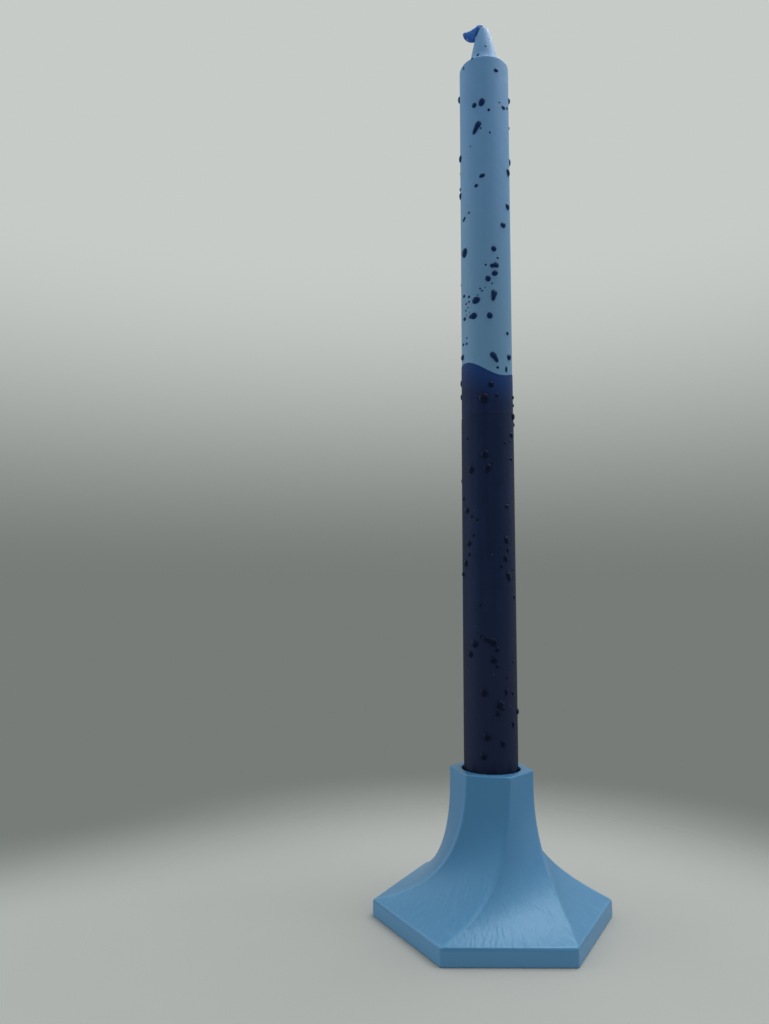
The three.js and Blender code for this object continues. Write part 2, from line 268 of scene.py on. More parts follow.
class Wire:
    """An output socket. Arithmetic on it adds Math nodes to its sheet."""

    def __init__(self, sheet: "Sheet", socket: bpy.types.NodeSocket) -> None:
        """Keep the socket and the sheet that it belongs to."""
        self.sheet = sheet
        self.socket = socket

    def __add__(self, other: "Operand") -> "Wire":
        """Return the sum."""
        return self.sheet.math("ADD", self, other)

    __radd__ = __add__

    def __sub__(self, other: "Operand") -> "Wire":
        """Return the difference."""
        return self.sheet.math("SUBTRACT", self, other)

    def __rsub__(self, other: "Operand") -> "Wire":
        """Return the other value less this one."""
        return self.sheet.math("SUBTRACT", other, self)

    def __mul__(self, other: "Operand") -> "Wire":
        """Return the product."""
        return self.sheet.math("MULTIPLY", self, other)

    __rmul__ = __mul__

    def __truediv__(self, other: "Operand") -> "Wire":
        """Return the quotient."""
        return self.sheet.math("DIVIDE", self, other)

    def __rtruediv__(self, other: "Operand") -> "Wire":
        """Return the other value divided by this one."""
        return self.sheet.math("DIVIDE", other, self)

    def __pow__(self, other: "Operand") -> "Wire":
        """Return this value to a power."""
        return self.sheet.math("POWER", self, other)

    def __rpow__(self, other: "Operand") -> "Wire":
        """Return the other value to this power."""
        return self.sheet.math("POWER", other, self)


Operand = Union[Wire, float]
Input = Union[Wire, float, Sequence[float]]
Inputs = dict[Union[str, int], Input]


class Sheet:
    """A node tree that is being drawn up."""

    def __init__(self, tree: bpy.types.NodeTree) -> None:
        """Start with an empty tree."""
        self.tree = tree
        tree.nodes.clear()

    def node(self, kind: str, settings: dict[str, object], inputs: Inputs) -> bpy.types.Node:
        """Add a node.

        Args:
            kind: Blender's name for the node's type.
            settings: Properties of the node, set first.
            inputs: Values or wires of its sockets, by name or number.

        Returns:
            The node.
        """
        node = self.tree.nodes.new(kind)
        for key, value in settings.items():
            setattr(node, key, value)
        for key, value in inputs.items():
            socket = node.inputs[key]
            if isinstance(value, Wire):
                self.tree.links.new(value.socket, socket)
            elif socket.type == "RGBA" and len(value) == 3:
                socket.default_value = (*value, 1.0)
            else:
                socket.default_value = value
        return node

    def wire(self, node: bpy.types.Node, output: Union[str, int] = 0) -> Wire:
        """Return one of a node's outputs."""
        return Wire(self, node.outputs[output])

    def math(self, operation: str, *values: Operand) -> Wire:
        """Add a Math node.

        Args:
            operation: What it works out.
            values: Its operands.

        Returns:
            The result.
        """
        return self.wire(self.node("ShaderNodeMath", {"operation": operation}, dict(enumerate(values))))

    def rise(self, value: Wire, low: float, high: float) -> Wire:
        """Rise smoothly between two values, or fall where low is above high.

        Args:
            value: What is compared with them.
            low: Where the result is 0, also beyond it.
            high: Where the result is 1, also beyond it.

        Returns:
            The result.
        """
        inputs = {"Value": value, "From Min": low, "From Max": high}
        return self.wire(self.node("ShaderNodeMapRange", {"interpolation_type": "SMOOTHSTEP"}, inputs))

    def blend(self, factor: Input, first: Input, second: Input) -> Wire:
        """Mix two colours.

        Args:
            factor: Share of the second.
            first: First colour.
            second: Second colour.

        Returns:
            The mixed colour.
        """
        mixer = self.node("ShaderNodeMix", {"data_type": "RGBA"}, {0: factor, 6: first, 7: second})
        return self.wire(mixer, 2)

    def scaled(self, vector: Wire, scale: Sequence[float]) -> Wire:
        """Return a vector times a scale for each axis."""
        return self.wire(self.node("ShaderNodeVectorMath", {"operation": "MULTIPLY"}, {0: vector, 1: scale}))

    def noise(self, vector: Wire, scale: float, detail: float = 2.0, roughness: float = 0.5) -> Wire:
        """Return smooth noise about 0.5.

        Args:
            vector: Where it is read.
            scale: Ripples for each unit of the vector.
            detail: Finer ripples added.
            roughness: Strength of the finer ripples.

        Returns:
            The noise.
        """
        inputs = {"Vector": vector, "Scale": scale, "Detail": detail, "Roughness": roughness}
        return self.wire(self.node("ShaderNodeTexNoise", {}, inputs))

    def millimetres(self) -> Wire:
        """Return the place on the piece, in millimetres."""
        coordinates = self.node("ShaderNodeTexCoord", {}, {})
        return self.scaled(self.wire(coordinates, "Object"), (1 / MM, 1 / MM, 1 / MM))

    def split(self, vector: Wire) -> tuple[Wire, Wire, Wire]:
        """Return a vector's x, y and z."""
        parts = self.node("ShaderNodeSeparateXYZ", {}, {0: vector})
        return self.wire(parts, 0), self.wire(parts, 1), self.wire(parts, 2)

    def join(self, x: Input, y: Input, z: Input) -> Wire:
        """Return the vector of x, y and z."""
        return self.wire(self.node("ShaderNodeCombineXYZ", {}, {0: x, 1: y, 2: z}))

    def down_the_wall(self, across: float, along: float, sway: Operand = 0.0) -> Wire:
        """Return a place that changes fast round the axis and slowly down a wall or flare.

        Args:
            across: Ripples for each radian round the axis.
            along: Ripples for each millimetre down.
            sway: Ripples that the place is moved sideways by.

        Returns:
            The place, for a noise of scale 1.
        """
        x, y, z = self.split(self.millimetres())
        radius = (x * x + y * y) ** 0.5 + 0.01
        return self.join(x / radius * across + sway, y / radius * across + sway, (z - radius) * along)

    def mark(self) -> Wire:
        """Return the mark of the place on the piece."""
        return self.wire(self.node("ShaderNodeAttribute", {"attribute_name": MARK}, {}), "Fac")

    def bump(self, height: Wire, depth: float, under: Optional[Wire] = None) -> Wire:
        """Turn a height into a normal.

        Args:
            height: Height, from 0 to 1.
            depth: Real depth of the relief, in millimetres.
            under: Normal of a coarser relief.

        Returns:
            The normal.
        """
        inputs: Inputs = {"Strength": 1.0, "Distance": depth * MM, "Height": height}
        if under is not None:
            inputs["Normal"] = under
        return self.wire(self.node("ShaderNodeBump", {}, inputs))

    def surface(self, inputs: Inputs) -> None:
        """Finish the sheet with a Principled surface.

        Args:
            inputs: Its sockets.
        """
        shader = self.node("ShaderNodeBsdfPrincipled", {}, inputs)
        self.node("ShaderNodeOutputMaterial", {}, {"Surface": self.wire(shader)})


# Finishes


class Finish:
    """A material that is made once and shared by the pieces that wear it."""

    label: str

    def material(self) -> bpy.types.Material:
        """Make the material at its first use.

        Returns:
            The material.
        """
        made = bpy.data.materials.get(self.label)
        if made is None:
            made = bpy.data.materials.new(self.label)
            made.use_nodes = True
            self.draw(Sheet(made.node_tree))
        return made

    def draw(self, sheet: Sheet) -> None:
        """Draw up the nodes.

        Args:
            sheet: An empty sheet.
        """
        raise NotImplementedError


@dataclass(frozen=True)
class BrushedPaint(Finish):
    """Light blue satin paint, brushed down the flare so that fine streaks catch the light."""

    label = "brushed_blue_paint"
    slab_top: float
    colour: Colour = srgb(57, 110, 151)
    # The paler colour: random cloud tone, and painted light, sheen and highlight on the lower flare
    light: Colour = srgb(84, 138, 172)
    # Painted light: the slab's sides are painted in this paler colour, as if lit from the front
    side: Colour = srgb(78, 129, 167)
    gloss: Colour = (0.65, 0.88, 1.0)
    # Paler brush streaks on the lower flare: brush tone and painted sheen
    streak_tone_and_sheen: float = 0.2
    # Painted highlight: how much paler the marked ridges and the slab's top edge are painted
    highlight_tint: float = 0.45
    # Painted light: the lower flare is painted paler, as if lit from above
    flare_painted_light: float = 0.16
    cloud_tint: float = 0.2
    streaks_round: float = 22.0
    streak_length: float = 8.0
    streak_depth: float = 0.24
    grain_depth: float = 0.04
    streaks_full_at: float = 6.0
    streaks_end_at: float = 34.0

    def draw(self, sheet: Sheet) -> None:
        """Draw up the nodes.

        Args:
            sheet: An empty sheet.
        """
        place_mm = sheet.millimetres()
        height = sheet.split(place_mm)[2]
        low = sheet.rise(height, self.streaks_end_at, self.streaks_full_at)
        low = low * sheet.rise(height, self.slab_top - 0.3, self.slab_top + 0.4)
        sway = (sheet.noise(place_mm, 0.1, 1.0) - 0.5) * 3
        down = sheet.down_the_wall(self.streaks_round, 1 / self.streak_length, sway)
        streaks = sheet.noise(down, 1.0, 1.5, 0.5)
        fine = sheet.noise(down, 1.9, 1.0, 0.5)
        cloud = sheet.noise(place_mm, 0.06, 2.0)
        # Painted light: paler paint on the lower flare, on its streaks as painted sheen and on its ridges as
        # painted highlight; the cloud is random tone
        paler = sheet.rise(streaks, 0.5, 0.72) * self.streak_tone_and_sheen + sheet.mark() * self.highlight_tint
        paler = (paler + self.flare_painted_light) * low + cloud * self.cloud_tint
        colour = sheet.blend(paler, self.colour, self.light)
        # Painted light: the slab's sides are painted paler
        slab_painted_light = sheet.rise(height, self.slab_top - 0.4, self.slab_top - 1.2)
        colour = sheet.blend(slab_painted_light, colour, self.side)
        rough = streaks * 0.1 + cloud * 0.06 + 0.28
        relief = sheet.bump(sheet.noise(place_mm, 1.6, 3.0), self.grain_depth)
        brushed = (streaks * 0.8 + fine * 0.4) * (low * 0.94 + 0.06)
        relief = sheet.bump(brushed, self.streak_depth, relief)
        sheet.surface({"Base Color": colour, "Roughness": rough, "Normal": relief, "Specular IOR Level": 0.5,
                       "Specular Tint": self.gloss})


@dataclass(frozen=True)
class PaleWax(Finish):
    """Pale blue wax: satin, a little translucent, faintly streaked from the pull of the dip.

    It is greyer lower down, and painted paler where the mark says, as painted light at the cone's foot and
    up the cone.
    """

    label = "pale_blue_wax"
    colour: Colour = srgb(84, 127, 164)
    deep: Colour = srgb(74, 116, 155)
    lower: Colour = srgb(80, 119, 148)
    # Painted light: the paler colour of the lit band at the cone's foot and of the cone
    thin: Colour = srgb(112, 154, 196)
    scatter: Colour = (0.5, 0.8, 1.0)
    greyer_from: float = 340.0
    greyer_to: float = 240.0
    grey_tint: float = 0.9
    wave_depth: float = 0.12
    grain_depth: float = 0.03
    scatter_depth: float = 1.6

    def draw(self, sheet: Sheet) -> None:
        """Draw up the nodes.

        Args:
            sheet: An empty sheet.
        """
        place_mm = sheet.millimetres()
        cloud = sheet.noise(place_mm, 0.09, 3.0, 0.55)
        pull = sheet.noise(sheet.down_the_wall(5.0, 0.02), 1.0, 2.0)
        grain = sheet.noise(place_mm, 1.3, 4.0, 0.6)
        colour = sheet.blend(cloud * 0.7 + pull * 0.5 - 0.1, self.colour, self.deep)
        fall = sheet.rise(sheet.split(place_mm)[2], self.greyer_from, self.greyer_to)
        colour = sheet.blend(fall * self.grey_tint, colour, self.lower)
        # Painted light at the cone's foot and up the cone, read from the mark
        colour = sheet.blend(sheet.mark(), colour, self.thin)
        relief = sheet.bump(sheet.noise(place_mm, 0.22, 2.0), self.wave_depth)
        relief = sheet.bump(grain, self.grain_depth, relief)
        sheet.surface({"Base Color": colour, "Roughness": grain * 0.14 + 0.42, "Normal": relief,
                       "Subsurface Weight": 0.12, "Subsurface Radius": self.scatter,
                       "Subsurface Scale": self.scatter_depth * MM, "Specular IOR Level": 0.22})


@dataclass(frozen=True)
class DipWax(Finish):
    """A dip coat of dark wax: dull indigo, bluer where it is thin at its line, with a leathery skin."""

    label: str
    colour: Colour
    cloud_colour: Colour
    line_colour: Colour
    low_colour: Colour = srgb(24, 32, 54)
    fleck_colour: Colour = srgb(104, 122, 156)
    gloss: Colour = (0.6, 0.78, 1.0)
    darkest_from: float = 140.0
    darkest_to: float = 90.0
    low_tint: float = 0.8
    fleck_tint: float = 0.3
    wave_depth: float = 0.1
    skin_depth: float = 0.06

    def draw(self, sheet: Sheet) -> None:
        """Draw up the nodes.

        Args:
            sheet: An empty sheet.
        """
        place_mm = sheet.millimetres()
        cloud = sheet.noise(place_mm, 0.05, 3.0, 0.6)
        pull = sheet.noise(sheet.down_the_wall(4.0, 0.012), 1.0, 2.0)
        skin = sheet.noise(place_mm, 1.1, 4.0, 0.62)
        tint = sheet.rise(cloud * 0.5 + pull * 0.5, 0.36, 0.66)
        colour = sheet.blend(tint, self.colour, self.cloud_colour)
        fall = sheet.rise(sheet.split(place_mm)[2], self.darkest_from, self.darkest_to)
        colour = sheet.blend(fall * self.low_tint, colour, self.low_colour)
        colour = sheet.blend(sheet.mark(), colour, self.line_colour)
        cells = sheet.node("ShaderNodeTexVoronoi", {"feature": "F1"}, {"Vector": place_mm, "Scale": 0.42})
        small = sheet.rise(sheet.wire(cells, "Distance"), 0.14, 0.05)
        chosen = sheet.rise(sheet.split(sheet.wire(cells, "Color"))[0], 0.93, 0.97)
        colour = sheet.blend(small * chosen * self.fleck_tint, colour, self.fleck_colour)
        relief = sheet.bump(sheet.noise(place_mm, 0.3, 2.0), self.wave_depth)
        relief = sheet.bump(skin, self.skin_depth, relief)
        sheet.surface({"Base Color": colour, "Roughness": skin * 0.22 + 0.44, "Normal": relief,
                       "Specular IOR Level": 0.1, "Specular Tint": self.gloss})


@dataclass(frozen=True)
class DropWax(Finish):
    """Deep navy wax of the drops, a little bluer where it is thin at the rim."""

    label: str
    colour: Colour
    rim: Colour
    gloss: Colour = (0.4, 0.7, 1.0)
    rim_tint: float = 0.8
    ripple_depth: float = 0.05

    def draw(self, sheet: Sheet) -> None:
        """Draw up the nodes.

        Args:
            sheet: An empty sheet.
        """
        place_mm = sheet.millimetres()
        dull = sheet.noise(place_mm, 0.5, 2.0)
        colour = sheet.blend(sheet.mark() * self.rim_tint, self.colour, self.rim)
        relief = sheet.bump(sheet.noise(place_mm, 1.7, 2.0), self.ripple_depth)
        sheet.surface({"Base Color": colour, "Roughness": dull * 0.16 + 0.3, "Normal": relief,
                       "Specular IOR Level": 0.12, "Specular Tint": self.gloss})


@dataclass(frozen=True)
class TailWax(Finish):
    """Wax on the wick's bent end: pale over the bend, saturated blue down the tail."""

    label = "blue_tail_wax"
    pale: Colour = srgb(86, 130, 168)
    blue: Colour = srgb(18, 80, 152)
    cut: Colour = srgb(16, 72, 142)
    scatter: Colour = (0.4, 0.7, 1.0)
    scatter_depth: float = 1.2
    lump_depth: float = 0.12

    def draw(self, sheet: Sheet) -> None:
        """Draw up the nodes.

        Args:
            sheet: An empty sheet.
        """
        place_mm = sheet.millimetres()
        blot = sheet.noise(place_mm, 0.7, 3.0)
        along = sheet.mark() + (blot - 0.5) * 0.16
        colour = sheet.blend(sheet.rise(along, 0.2, 0.27), self.pale, self.blue)
        colour = sheet.blend(sheet.rise(along, 0.8, 1.0), colour, self.cut)
        relief = sheet.bump(sheet.noise(place_mm, 1.2, 3.0), self.lump_depth)
        sheet.surface({"Base Color": colour, "Roughness": blot * 0.2 + 0.36, "Normal": relief,
                       "Subsurface Weight": 0.1, "Subsurface Radius": self.scatter,
                       "Subsurface Scale": self.scatter_depth * MM, "Specular IOR Level": 0.2})


@dataclass(frozen=True)
class CottonBraid(Finish):
    """Braided cotton, off-white and dull, stained blue where the wax has soaked in."""

    label = "cotton_braid"
    cotton: Colour = srgb(206, 200, 184)
    soaked: Colour = srgb(44, 88, 152)
    soaked_tint: float = 0.85
    fibre_depth: float = 0.12

    def draw(self, sheet: Sheet) -> None:
        """Draw up the nodes.

        Args:
            sheet: An empty sheet.
        """
        place_mm = sheet.millimetres()
        fibres = sheet.noise(sheet.scaled(place_mm, (6.0, 6.0, 2.0)), 1.0, 4.0, 0.7)
        colour = sheet.blend(sheet.rise(fibres, 0.35, 0.7), self.soaked, self.cotton)
        colour = sheet.blend(sheet.mark() * self.soaked_tint, colour, self.soaked)
        relief = sheet.bump(fibres, self.fibre_depth)
        sheet.surface({"Base Color": colour, "Roughness": fibres * 0.2 + 0.75, "Normal": relief})


NAVY_DIP = DipWax("navy_dip_wax", srgb(16, 26, 52), srgb(20, 32, 60), srgb(12, 19, 40))
ROYAL_DIP = DipWax("royal_dip_wax", srgb(16, 27, 56), srgb(20, 34, 66), srgb(20, 46, 92))
PALE_DROPS = DropWax("dark_drop_wax", srgb(7, 31, 66), srgb(16, 50, 92))
MELTED_DROPS = DropWax("melted_drop_wax", srgb(9, 14, 34), srgb(16, 25, 50))


# Holder

SIDES = 6
SIDE_TURN = 360 / SIDES
HALF_TURN = SIDE_TURN / 2


@dataclass
class Holder:
    """The six-sided holder: a flat slab, a flare that twists on its way up, a neck with a round socket."""

    height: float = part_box("holder")[1].z / MM
    foot_corner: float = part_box("holder")[1].x / MM
    slab_height: float = 6.5
    first_corner: float = 30.0
    twist: float = 46.5
    twist_power: float = 1.96
    steep_share: float = 0.43
    steep_power: float = 6.9
    gentle_power: float = 2.73
    neck_corner: float = 17.436
    socket_radius: float = 12.0
    socket_depth: float = 20.0
    lip: float = 0.6
    slab_softness: float = 1.1
    rim_softness: float = 0.7
    base_break: float = 0.4
    slab_fillet: float = 1.2
    flare_fillet: float = 0.8
    rim_fillet: float = 1.5
    # Marks of painted highlight on the edges and ridges, from 0 to 1, shown only on the lower flare and the
    # slab's top edge
    side_highlight: float = 0.4
    edge_highlight: float = 0.7
    ridge_highlight: float = 0.8
    rim_highlight: float = 0.5
    lip_highlight: float = 0.3
    # Points and steps of the mesh
    side_points: int = 20
    fillet_points: int = 5
    edge_steps: int = 7
    rim_steps: int = 6
    flare_steps: int = 110
    flare_crowding: float = 1.4

    def ring(self, corner: float, azimuth: float, z: float, fillet: float) -> Array:
        """Lay out a hexagon with rounded corners.

        Args:
            corner: Middle to the sharp corner that the rounding takes off.
            azimuth: Azimuth of the first corner.
            z: Height.
            fillet: Radius of the rounding.

        Returns:
            The ring's points.
        """
        bend = np.linspace(-HALF_TURN, HALF_TURN, self.fillet_points)
        middle_distance = corner - fillet / math.cos(math.radians(HALF_TURN))
        spread = (1 - np.cos(np.linspace(0, math.pi, self.side_points + 2)[1:-1])) / 2
        points = []
        for side in range(SIDES):
            here = azimuth + SIDE_TURN * side
            following = azimuth + SIDE_TURN * (side + 1)
            arc = polar(here, middle_distance, 0) + polar(here + bend, fillet, 0)
            end = polar(following, middle_distance, 0) + polar(following - HALF_TURN, fillet, 0)
            points.extend([arc, arc[-1] + spread[:, None] * (end - arc[-1])])
        ring = np.concatenate(points)
        ring[:, 2] = z
        return ring

    def ridge_marks(self) -> Array:
        """Return 1 on the rounded corners of a ring and 0 along its sides."""
        corner = np.ones(self.fillet_points)
        return np.tile(np.concatenate([corner, np.zeros(self.side_points)]), SIDES)

    def flare_ring(self, share: float) -> Array:
        """Lay out a ring of the flare.

        Args:
            share: Share of the way up from the slab to the rim.

        Returns:
            The ring's points.
        """
        left = 1 - share
        fall = self.steep_share * left**self.steep_power + (1 - self.steep_share) * left**self.gentle_power
        corner = self.neck_corner + (self.foot_corner - self.neck_corner) * fall
        azimuth = self.first_corner + self.twist * (1 - left**self.twist_power)
        z = self.slab_height + share * (self.height - self.slab_height)
        fillet = self.rim_fillet + (self.slab_fillet - self.rim_fillet) * fall
        fillet += self.flare_fillet * 4 * share * left
        return self.ring(corner, azimuth, z, fillet)

    @staticmethod
    def soft_edge(start: Array, corner: Array, end: Array, steps: int) -> list[Array]:
        """Turn from one ring to another past the sharp corner between them.

        Args:
            start: Ring before the corner.
            corner: Ring on the corner.
            end: Ring after it.
            steps: Number of steps.

        Returns:
            The rings.
        """
        shares = np.linspace(0, 1, steps + 1)
        return [(1 - t) ** 2 * start + 2 * t * (1 - t) * corner + t * t * end for t in shares]

    def shell(self) -> Loft:
        """Make the whole surface, from the middle of the foot to the middle of the socket's floor.

        Returns:
            The surface, marked with painted highlight along its edges and ridges.
        """
        loft = Loft()
        ridge = self.ridge_marks()
        flare_height = self.height - self.slab_height
        low = 0.3 * self.slab_softness / flare_height
        high = 1 - self.rim_softness / flare_height

        def slab(inset: float, z: float) -> Array:
            """Return a ring of the slab's side."""
            return self.ring(self.foot_corner - inset, self.first_corner, z, self.slab_fillet)

        for turn in np.radians(np.linspace(0, 90, 4)):
            inset = self.base_break * (1 - math.sin(turn))
            loft.add(slab(inset, self.base_break * (1 - math.cos(turn))))
        side_top = self.slab_height - self.slab_softness
        for z in np.linspace(self.base_break + 0.5, side_top - 0.5, 4):
            # Marks of painted highlight go on the slab's corners, its top edge, the flare's ridges, the rim
            # and the lip
            loft.add(slab(0, z), self.side_highlight * ridge)
        edge = (slab(0, side_top), slab(0, self.slab_height), self.flare_ring(low))
        for ring in self.soft_edge(*edge, self.edge_steps):
            loft.add(ring, np.maximum(self.edge_highlight, ridge))
        for step in range(1, self.flare_steps):
            share = low + (high - low) * (step / self.flare_steps) ** self.flare_crowding
            loft.add(self.flare_ring(share), self.ridge_highlight * ridge)
        rim_azimuth = self.first_corner + self.twist
        rim_top = self.ring(self.neck_corner - self.rim_softness, rim_azimuth, self.height, self.rim_fillet)
        for ring in self.soft_edge(self.flare_ring(high), self.flare_ring(1.0), rim_top, self.rim_steps):
            loft.add(ring, np.maximum(self.rim_highlight, ridge))
        turn = np.degrees(np.arctan2(rim_top[:, 0], -rim_top[:, 1]))
        for angle in np.linspace(90, 0, 6):
            radius = self.socket_radius + self.lip * (1 - math.cos(math.radians(angle)))
            z = self.height - self.lip + self.lip * math.sin(math.radians(angle))
            loft.add(polar(turn, radius, z), self.lip_highlight)
        for depth in np.linspace(self.lip + 1, self.socket_depth, 6):
            loft.add(polar(turn, self.socket_radius, self.height - depth))
        loft.add(polar(turn, self.socket_radius - 1, self.height - self.socket_depth))
        return loft

    def build(self) -> None:
        """Make the holder and dress it."""
        piece = mesh_piece("twisted_holder", [self.shell()])
        place(piece, Body.HOLDER, Slot.HOLDER_PAINT, BrushedPaint(self.slab_height), ["holder"])


# Candle


@dataclass
class Stick:
    """The wax stick and its dip coats: a fluted foot, a straight wall, a tight shoulder and a cone."""

    foot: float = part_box("candle_body")[0].z / MM
    cone_top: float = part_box("candle_body")[1].z / MM
    radius: float = 10.9
    wall_top_depth: float = 21.1
    shoulder_edge: float = 1.1
    shoulder_slope: float = 19.0
    cone_height: float = 16.6
    cone_foot_radius: float = 6.1
    cone_top_radius: float = 2.1
    bore_radius: float = 0.83
    flutes: int = 10
    flute_height: float = 23.7
    flute_depth: float = 0.9
    flute_rise: float = 9.0
    flute_half_angle: float = 16.0
    first_flute: float = -5.0
    foot_taper: float = 0.5
    foot_break: float = 0.7
    crease_softness: float = 0.05
    coat: float = 0.12
    coat_gap: float = 0.03
    first_dip: float = 186.9
    first_lean: float = 2.8
    first_lean_azimuth: float = -102.0
    first_sag: float = 0.95
    first_sag_azimuth: float = 5.0
    first_ripple: float = 0.84
    first_ripple_azimuth: float = -41.0
    first_fade: float = 15.0
    second_dip: float = 167.8
    second_lean: float = 1.35
    second_lean_azimuth: float = 120.0
    second_fade: float = 0.6
    # A coat's edge: lengths in millimetres, then shares of the coat's thickness
    line_zone: float = 12.0
    line_taper: float = 3.0
    line_thinning: float = 0.45
    line_lip: float = 0.3
    line_end: float = 0.5
    # Marks of painted light, from 0 to 1: a bright band at the cone's foot, fainter up the cone
    cone_painted_light: float = 0.22
    crease_painted_light: float = 0.92
    # Points and rings of the meshes
    sides: int = 300
    wall_rings: int = 50
    coat_rings: int = 40
    arch_rings: int = 30
    inner_rings: int = 12

    def __post_init__(self) -> None:
        """Work out the places that follow from the sizes."""
        self.flute_top = self.foot + self.flute_height
        self.cone_foot = self.cone_top - self.cone_height
        self.wall_top = self.cone_top - self.wall_top_depth
        self.around = np.arange(self.sides) * 360 / self.sides + self.first_flute
        self.dipped_radius = self.radius + 2 * (self.coat + self.coat_gap)

    def first_line(self, azimuth: Values) -> Values:
        """Work out the first dip line, which leans, sags and ripples.

        Args:
            azimuth: Azimuth of a place on it.

        Returns:
            The line's height there.
        """
        lean = self.first_lean * np.cos(np.radians(azimuth - self.first_lean_azimuth))
        sag = self.first_sag * np.cos(np.radians(2 * (azimuth - self.first_sag_azimuth)))
        ripple = self.first_ripple * np.cos(np.radians(3 * (azimuth - self.first_ripple_azimuth)))
        return self.foot + self.first_dip + lean - sag + ripple

    def second_line(self, azimuth: Values) -> Values:
        """Return the height of the second dip line, which leans the other way."""
        lean = self.second_lean * np.cos(np.radians(azimuth - self.second_lean_azimuth))
        return self.foot + self.second_dip + lean

    def wall(self, z: Values) -> Array:
        """Work out how far the bare stick's wall stands out, in its flutes and above them.

        Args:
            z: Height of a ring, or of each of its points.

        Returns:
            The radius at each point of the ring.
        """
        z = np.broadcast_to(z, self.around.shape)
        pitch = 360 / self.flutes
        turns = (self.around - self.first_flute) / pitch
        offset = (turns - np.round(turns)) * pitch
        below = np.maximum(0, self.flute_top - z)
        depth = self.flute_depth * np.minimum(1, (self.flute_top - z) / self.flute_rise)
        groove = depth - self.flute_depth * (offset / self.flute_half_angle) ** 2
        soft = self.crease_softness
        groove = (groove + np.sqrt(groove**2 + soft**2)) / 2 * (z < self.flute_top + 1)
        return self.radius - self.foot_taper * below / self.flute_height - groove

    def ring(self, z: Values, offset: float = 0.0) -> Array:
        """Return a ring of the wall grown outwards by an offset, level or following a line."""
        return polar(self.around, self.wall(z) + offset, z)

    def foot_levels(self) -> Array:
        """List heights from the softened foot to the plain wall above the flutes.

        Returns:
            The heights, upwards.
        """
        grooves = np.linspace(self.foot + self.foot_break, self.flute_top - self.flute_rise, 9)
        arches = self.flute_top - self.flute_rise * np.linspace(1, 0, self.arch_rings)[1:] ** 1.3
        return np.concatenate([grooves, arches, [self.flute_top + 0.6, self.flute_top + 1.4]])

    def add_foot(self, loft: Loft, offset: float) -> None:
        """Add the rings of the foot, outwards and up.

        Args:
            loft: The loft that takes them.
            offset: How far they are grown outwards.
        """
        for turn in np.radians(np.linspace(0, 90, 5)[:-1]):
            inset = self.foot_break * (1 - math.sin(turn))
            up = self.foot_break * (1 - math.cos(turn))
            loft.add(self.ring(self.foot - offset + up, offset - inset))
        for z in self.foot_levels():
            loft.add(self.ring(z, offset))

    def sloped(self, radius: float) -> tuple[float, float]:
        """Return radius and height of a place on the shoulder's sloping upper side."""
        rise = math.tan(math.radians(self.shoulder_slope))
        return radius, self.wall_top + self.shoulder_edge + rise * (self.radius - radius)

    def profile(self) -> Array:
        """Draw the shoulder and the cone.

        Returns:
            Rows of radius and height, from the wall to the cone's top.
        """
        edge = self.sloped(self.radius - self.shoulder_edge)
        inner = self.sloped(self.cone_foot_radius + 0.1 * (self.radius - self.cone_foot_radius))
        foot = (self.cone_foot_radius, self.cone_foot)
        waist = (0.75 * self.cone_foot_radius, self.cone_foot + 0.66 * self.cone_height)
        shoulder = curve([(self.radius, self.wall_top), self.sloped(self.radius), edge], 10)
        fillet = curve([edge, inner, foot], 18)
        cone = curve([foot, waist, (self.cone_top_radius, self.cone_top)], 30)
        return np.concatenate([shoulder, fillet[1:], cone[1:]])

    def stick_shell(self) -> Loft:
        """Make the bare stick: up its outside, over the cone and back down the wick's bore.

        Returns:
            The closed surface, marked with painted light at the cone's foot and up the cone.
        """
        loft = Loft(closes=True)
        self.add_foot(loft, 0.0)
        for z in np.linspace(self.flute_top + 6, self.wall_top - 0.6, self.wall_rings):
            loft.add(self.ring(z))
        edge = self.sloped(self.radius - self.shoulder_edge)[1]
        # The mark paints light: a bright band at the cone's foot, fainter up the cone
        extra = self.crease_painted_light - self.cone_painted_light
        for radius, z in self.profile():
            painted_light = self.cone_painted_light + extra * ease(self.cone_foot + 3, self.cone_foot, z)
            loft.add(polar(self.around, radius, z), painted_light * ease(edge, self.cone_foot, z))
        for z in np.linspace(self.cone_top, self.foot, self.inner_rings):
            loft.add(polar(self.around, self.bore_radius, z))
        return loft

    def coat_shell(self, inner: float, line: Line, fade: float) -> Loft:
        """Make a dip coat: a thin cup, up its outside, over its thin edge and down its inside.

        Args:
            inner: How far its inside stands off the bare stick.
            line: Height of its upper edge at each azimuth.
            fade: Distance below the line over which its mark falls from 1, in millimetres.

        Returns:
            The closed surface, marked where it is thin near the line.
        """
        loft = Loft()
        outer = inner + self.coat
        edge = line(self.around)
        self.add_foot(loft, outer)
        bottom = self.flute_top + 3
        for share in np.linspace(0, 1, self.coat_rings):
            loft.add(self.ring(bottom + share * (edge - self.line_zone - bottom), outer))
        depths = np.linspace(self.line_zone - 1, 1, 16)
        for depth in np.concatenate([depths, [0.6, 0.35, 0.18, 0.08, 0.02]]):
            thinning = self.line_thinning * ease(self.line_taper, 0, depth)
            lip = self.line_lip * math.exp(-((depth - 0.45) / 0.3) ** 2)
            end = self.line_end * ease(0.2, 0, depth)
            offset = outer + self.coat * (lip - thinning - end)
            loft.add(self.ring(edge - depth, offset), ease(fade, 0, depth))
        loft.add(self.ring(edge - 0.02, inner), 1.0)
        for share in np.linspace(1, 0, self.inner_rings):
            loft.add(self.ring(bottom + share * (edge - 1 - bottom), inner))
        for z in self.foot_levels()[::-1]:
            loft.add(self.ring(z, inner))
        loft.add(self.ring(self.foot - inner, inner - self.foot_break))
        return loft

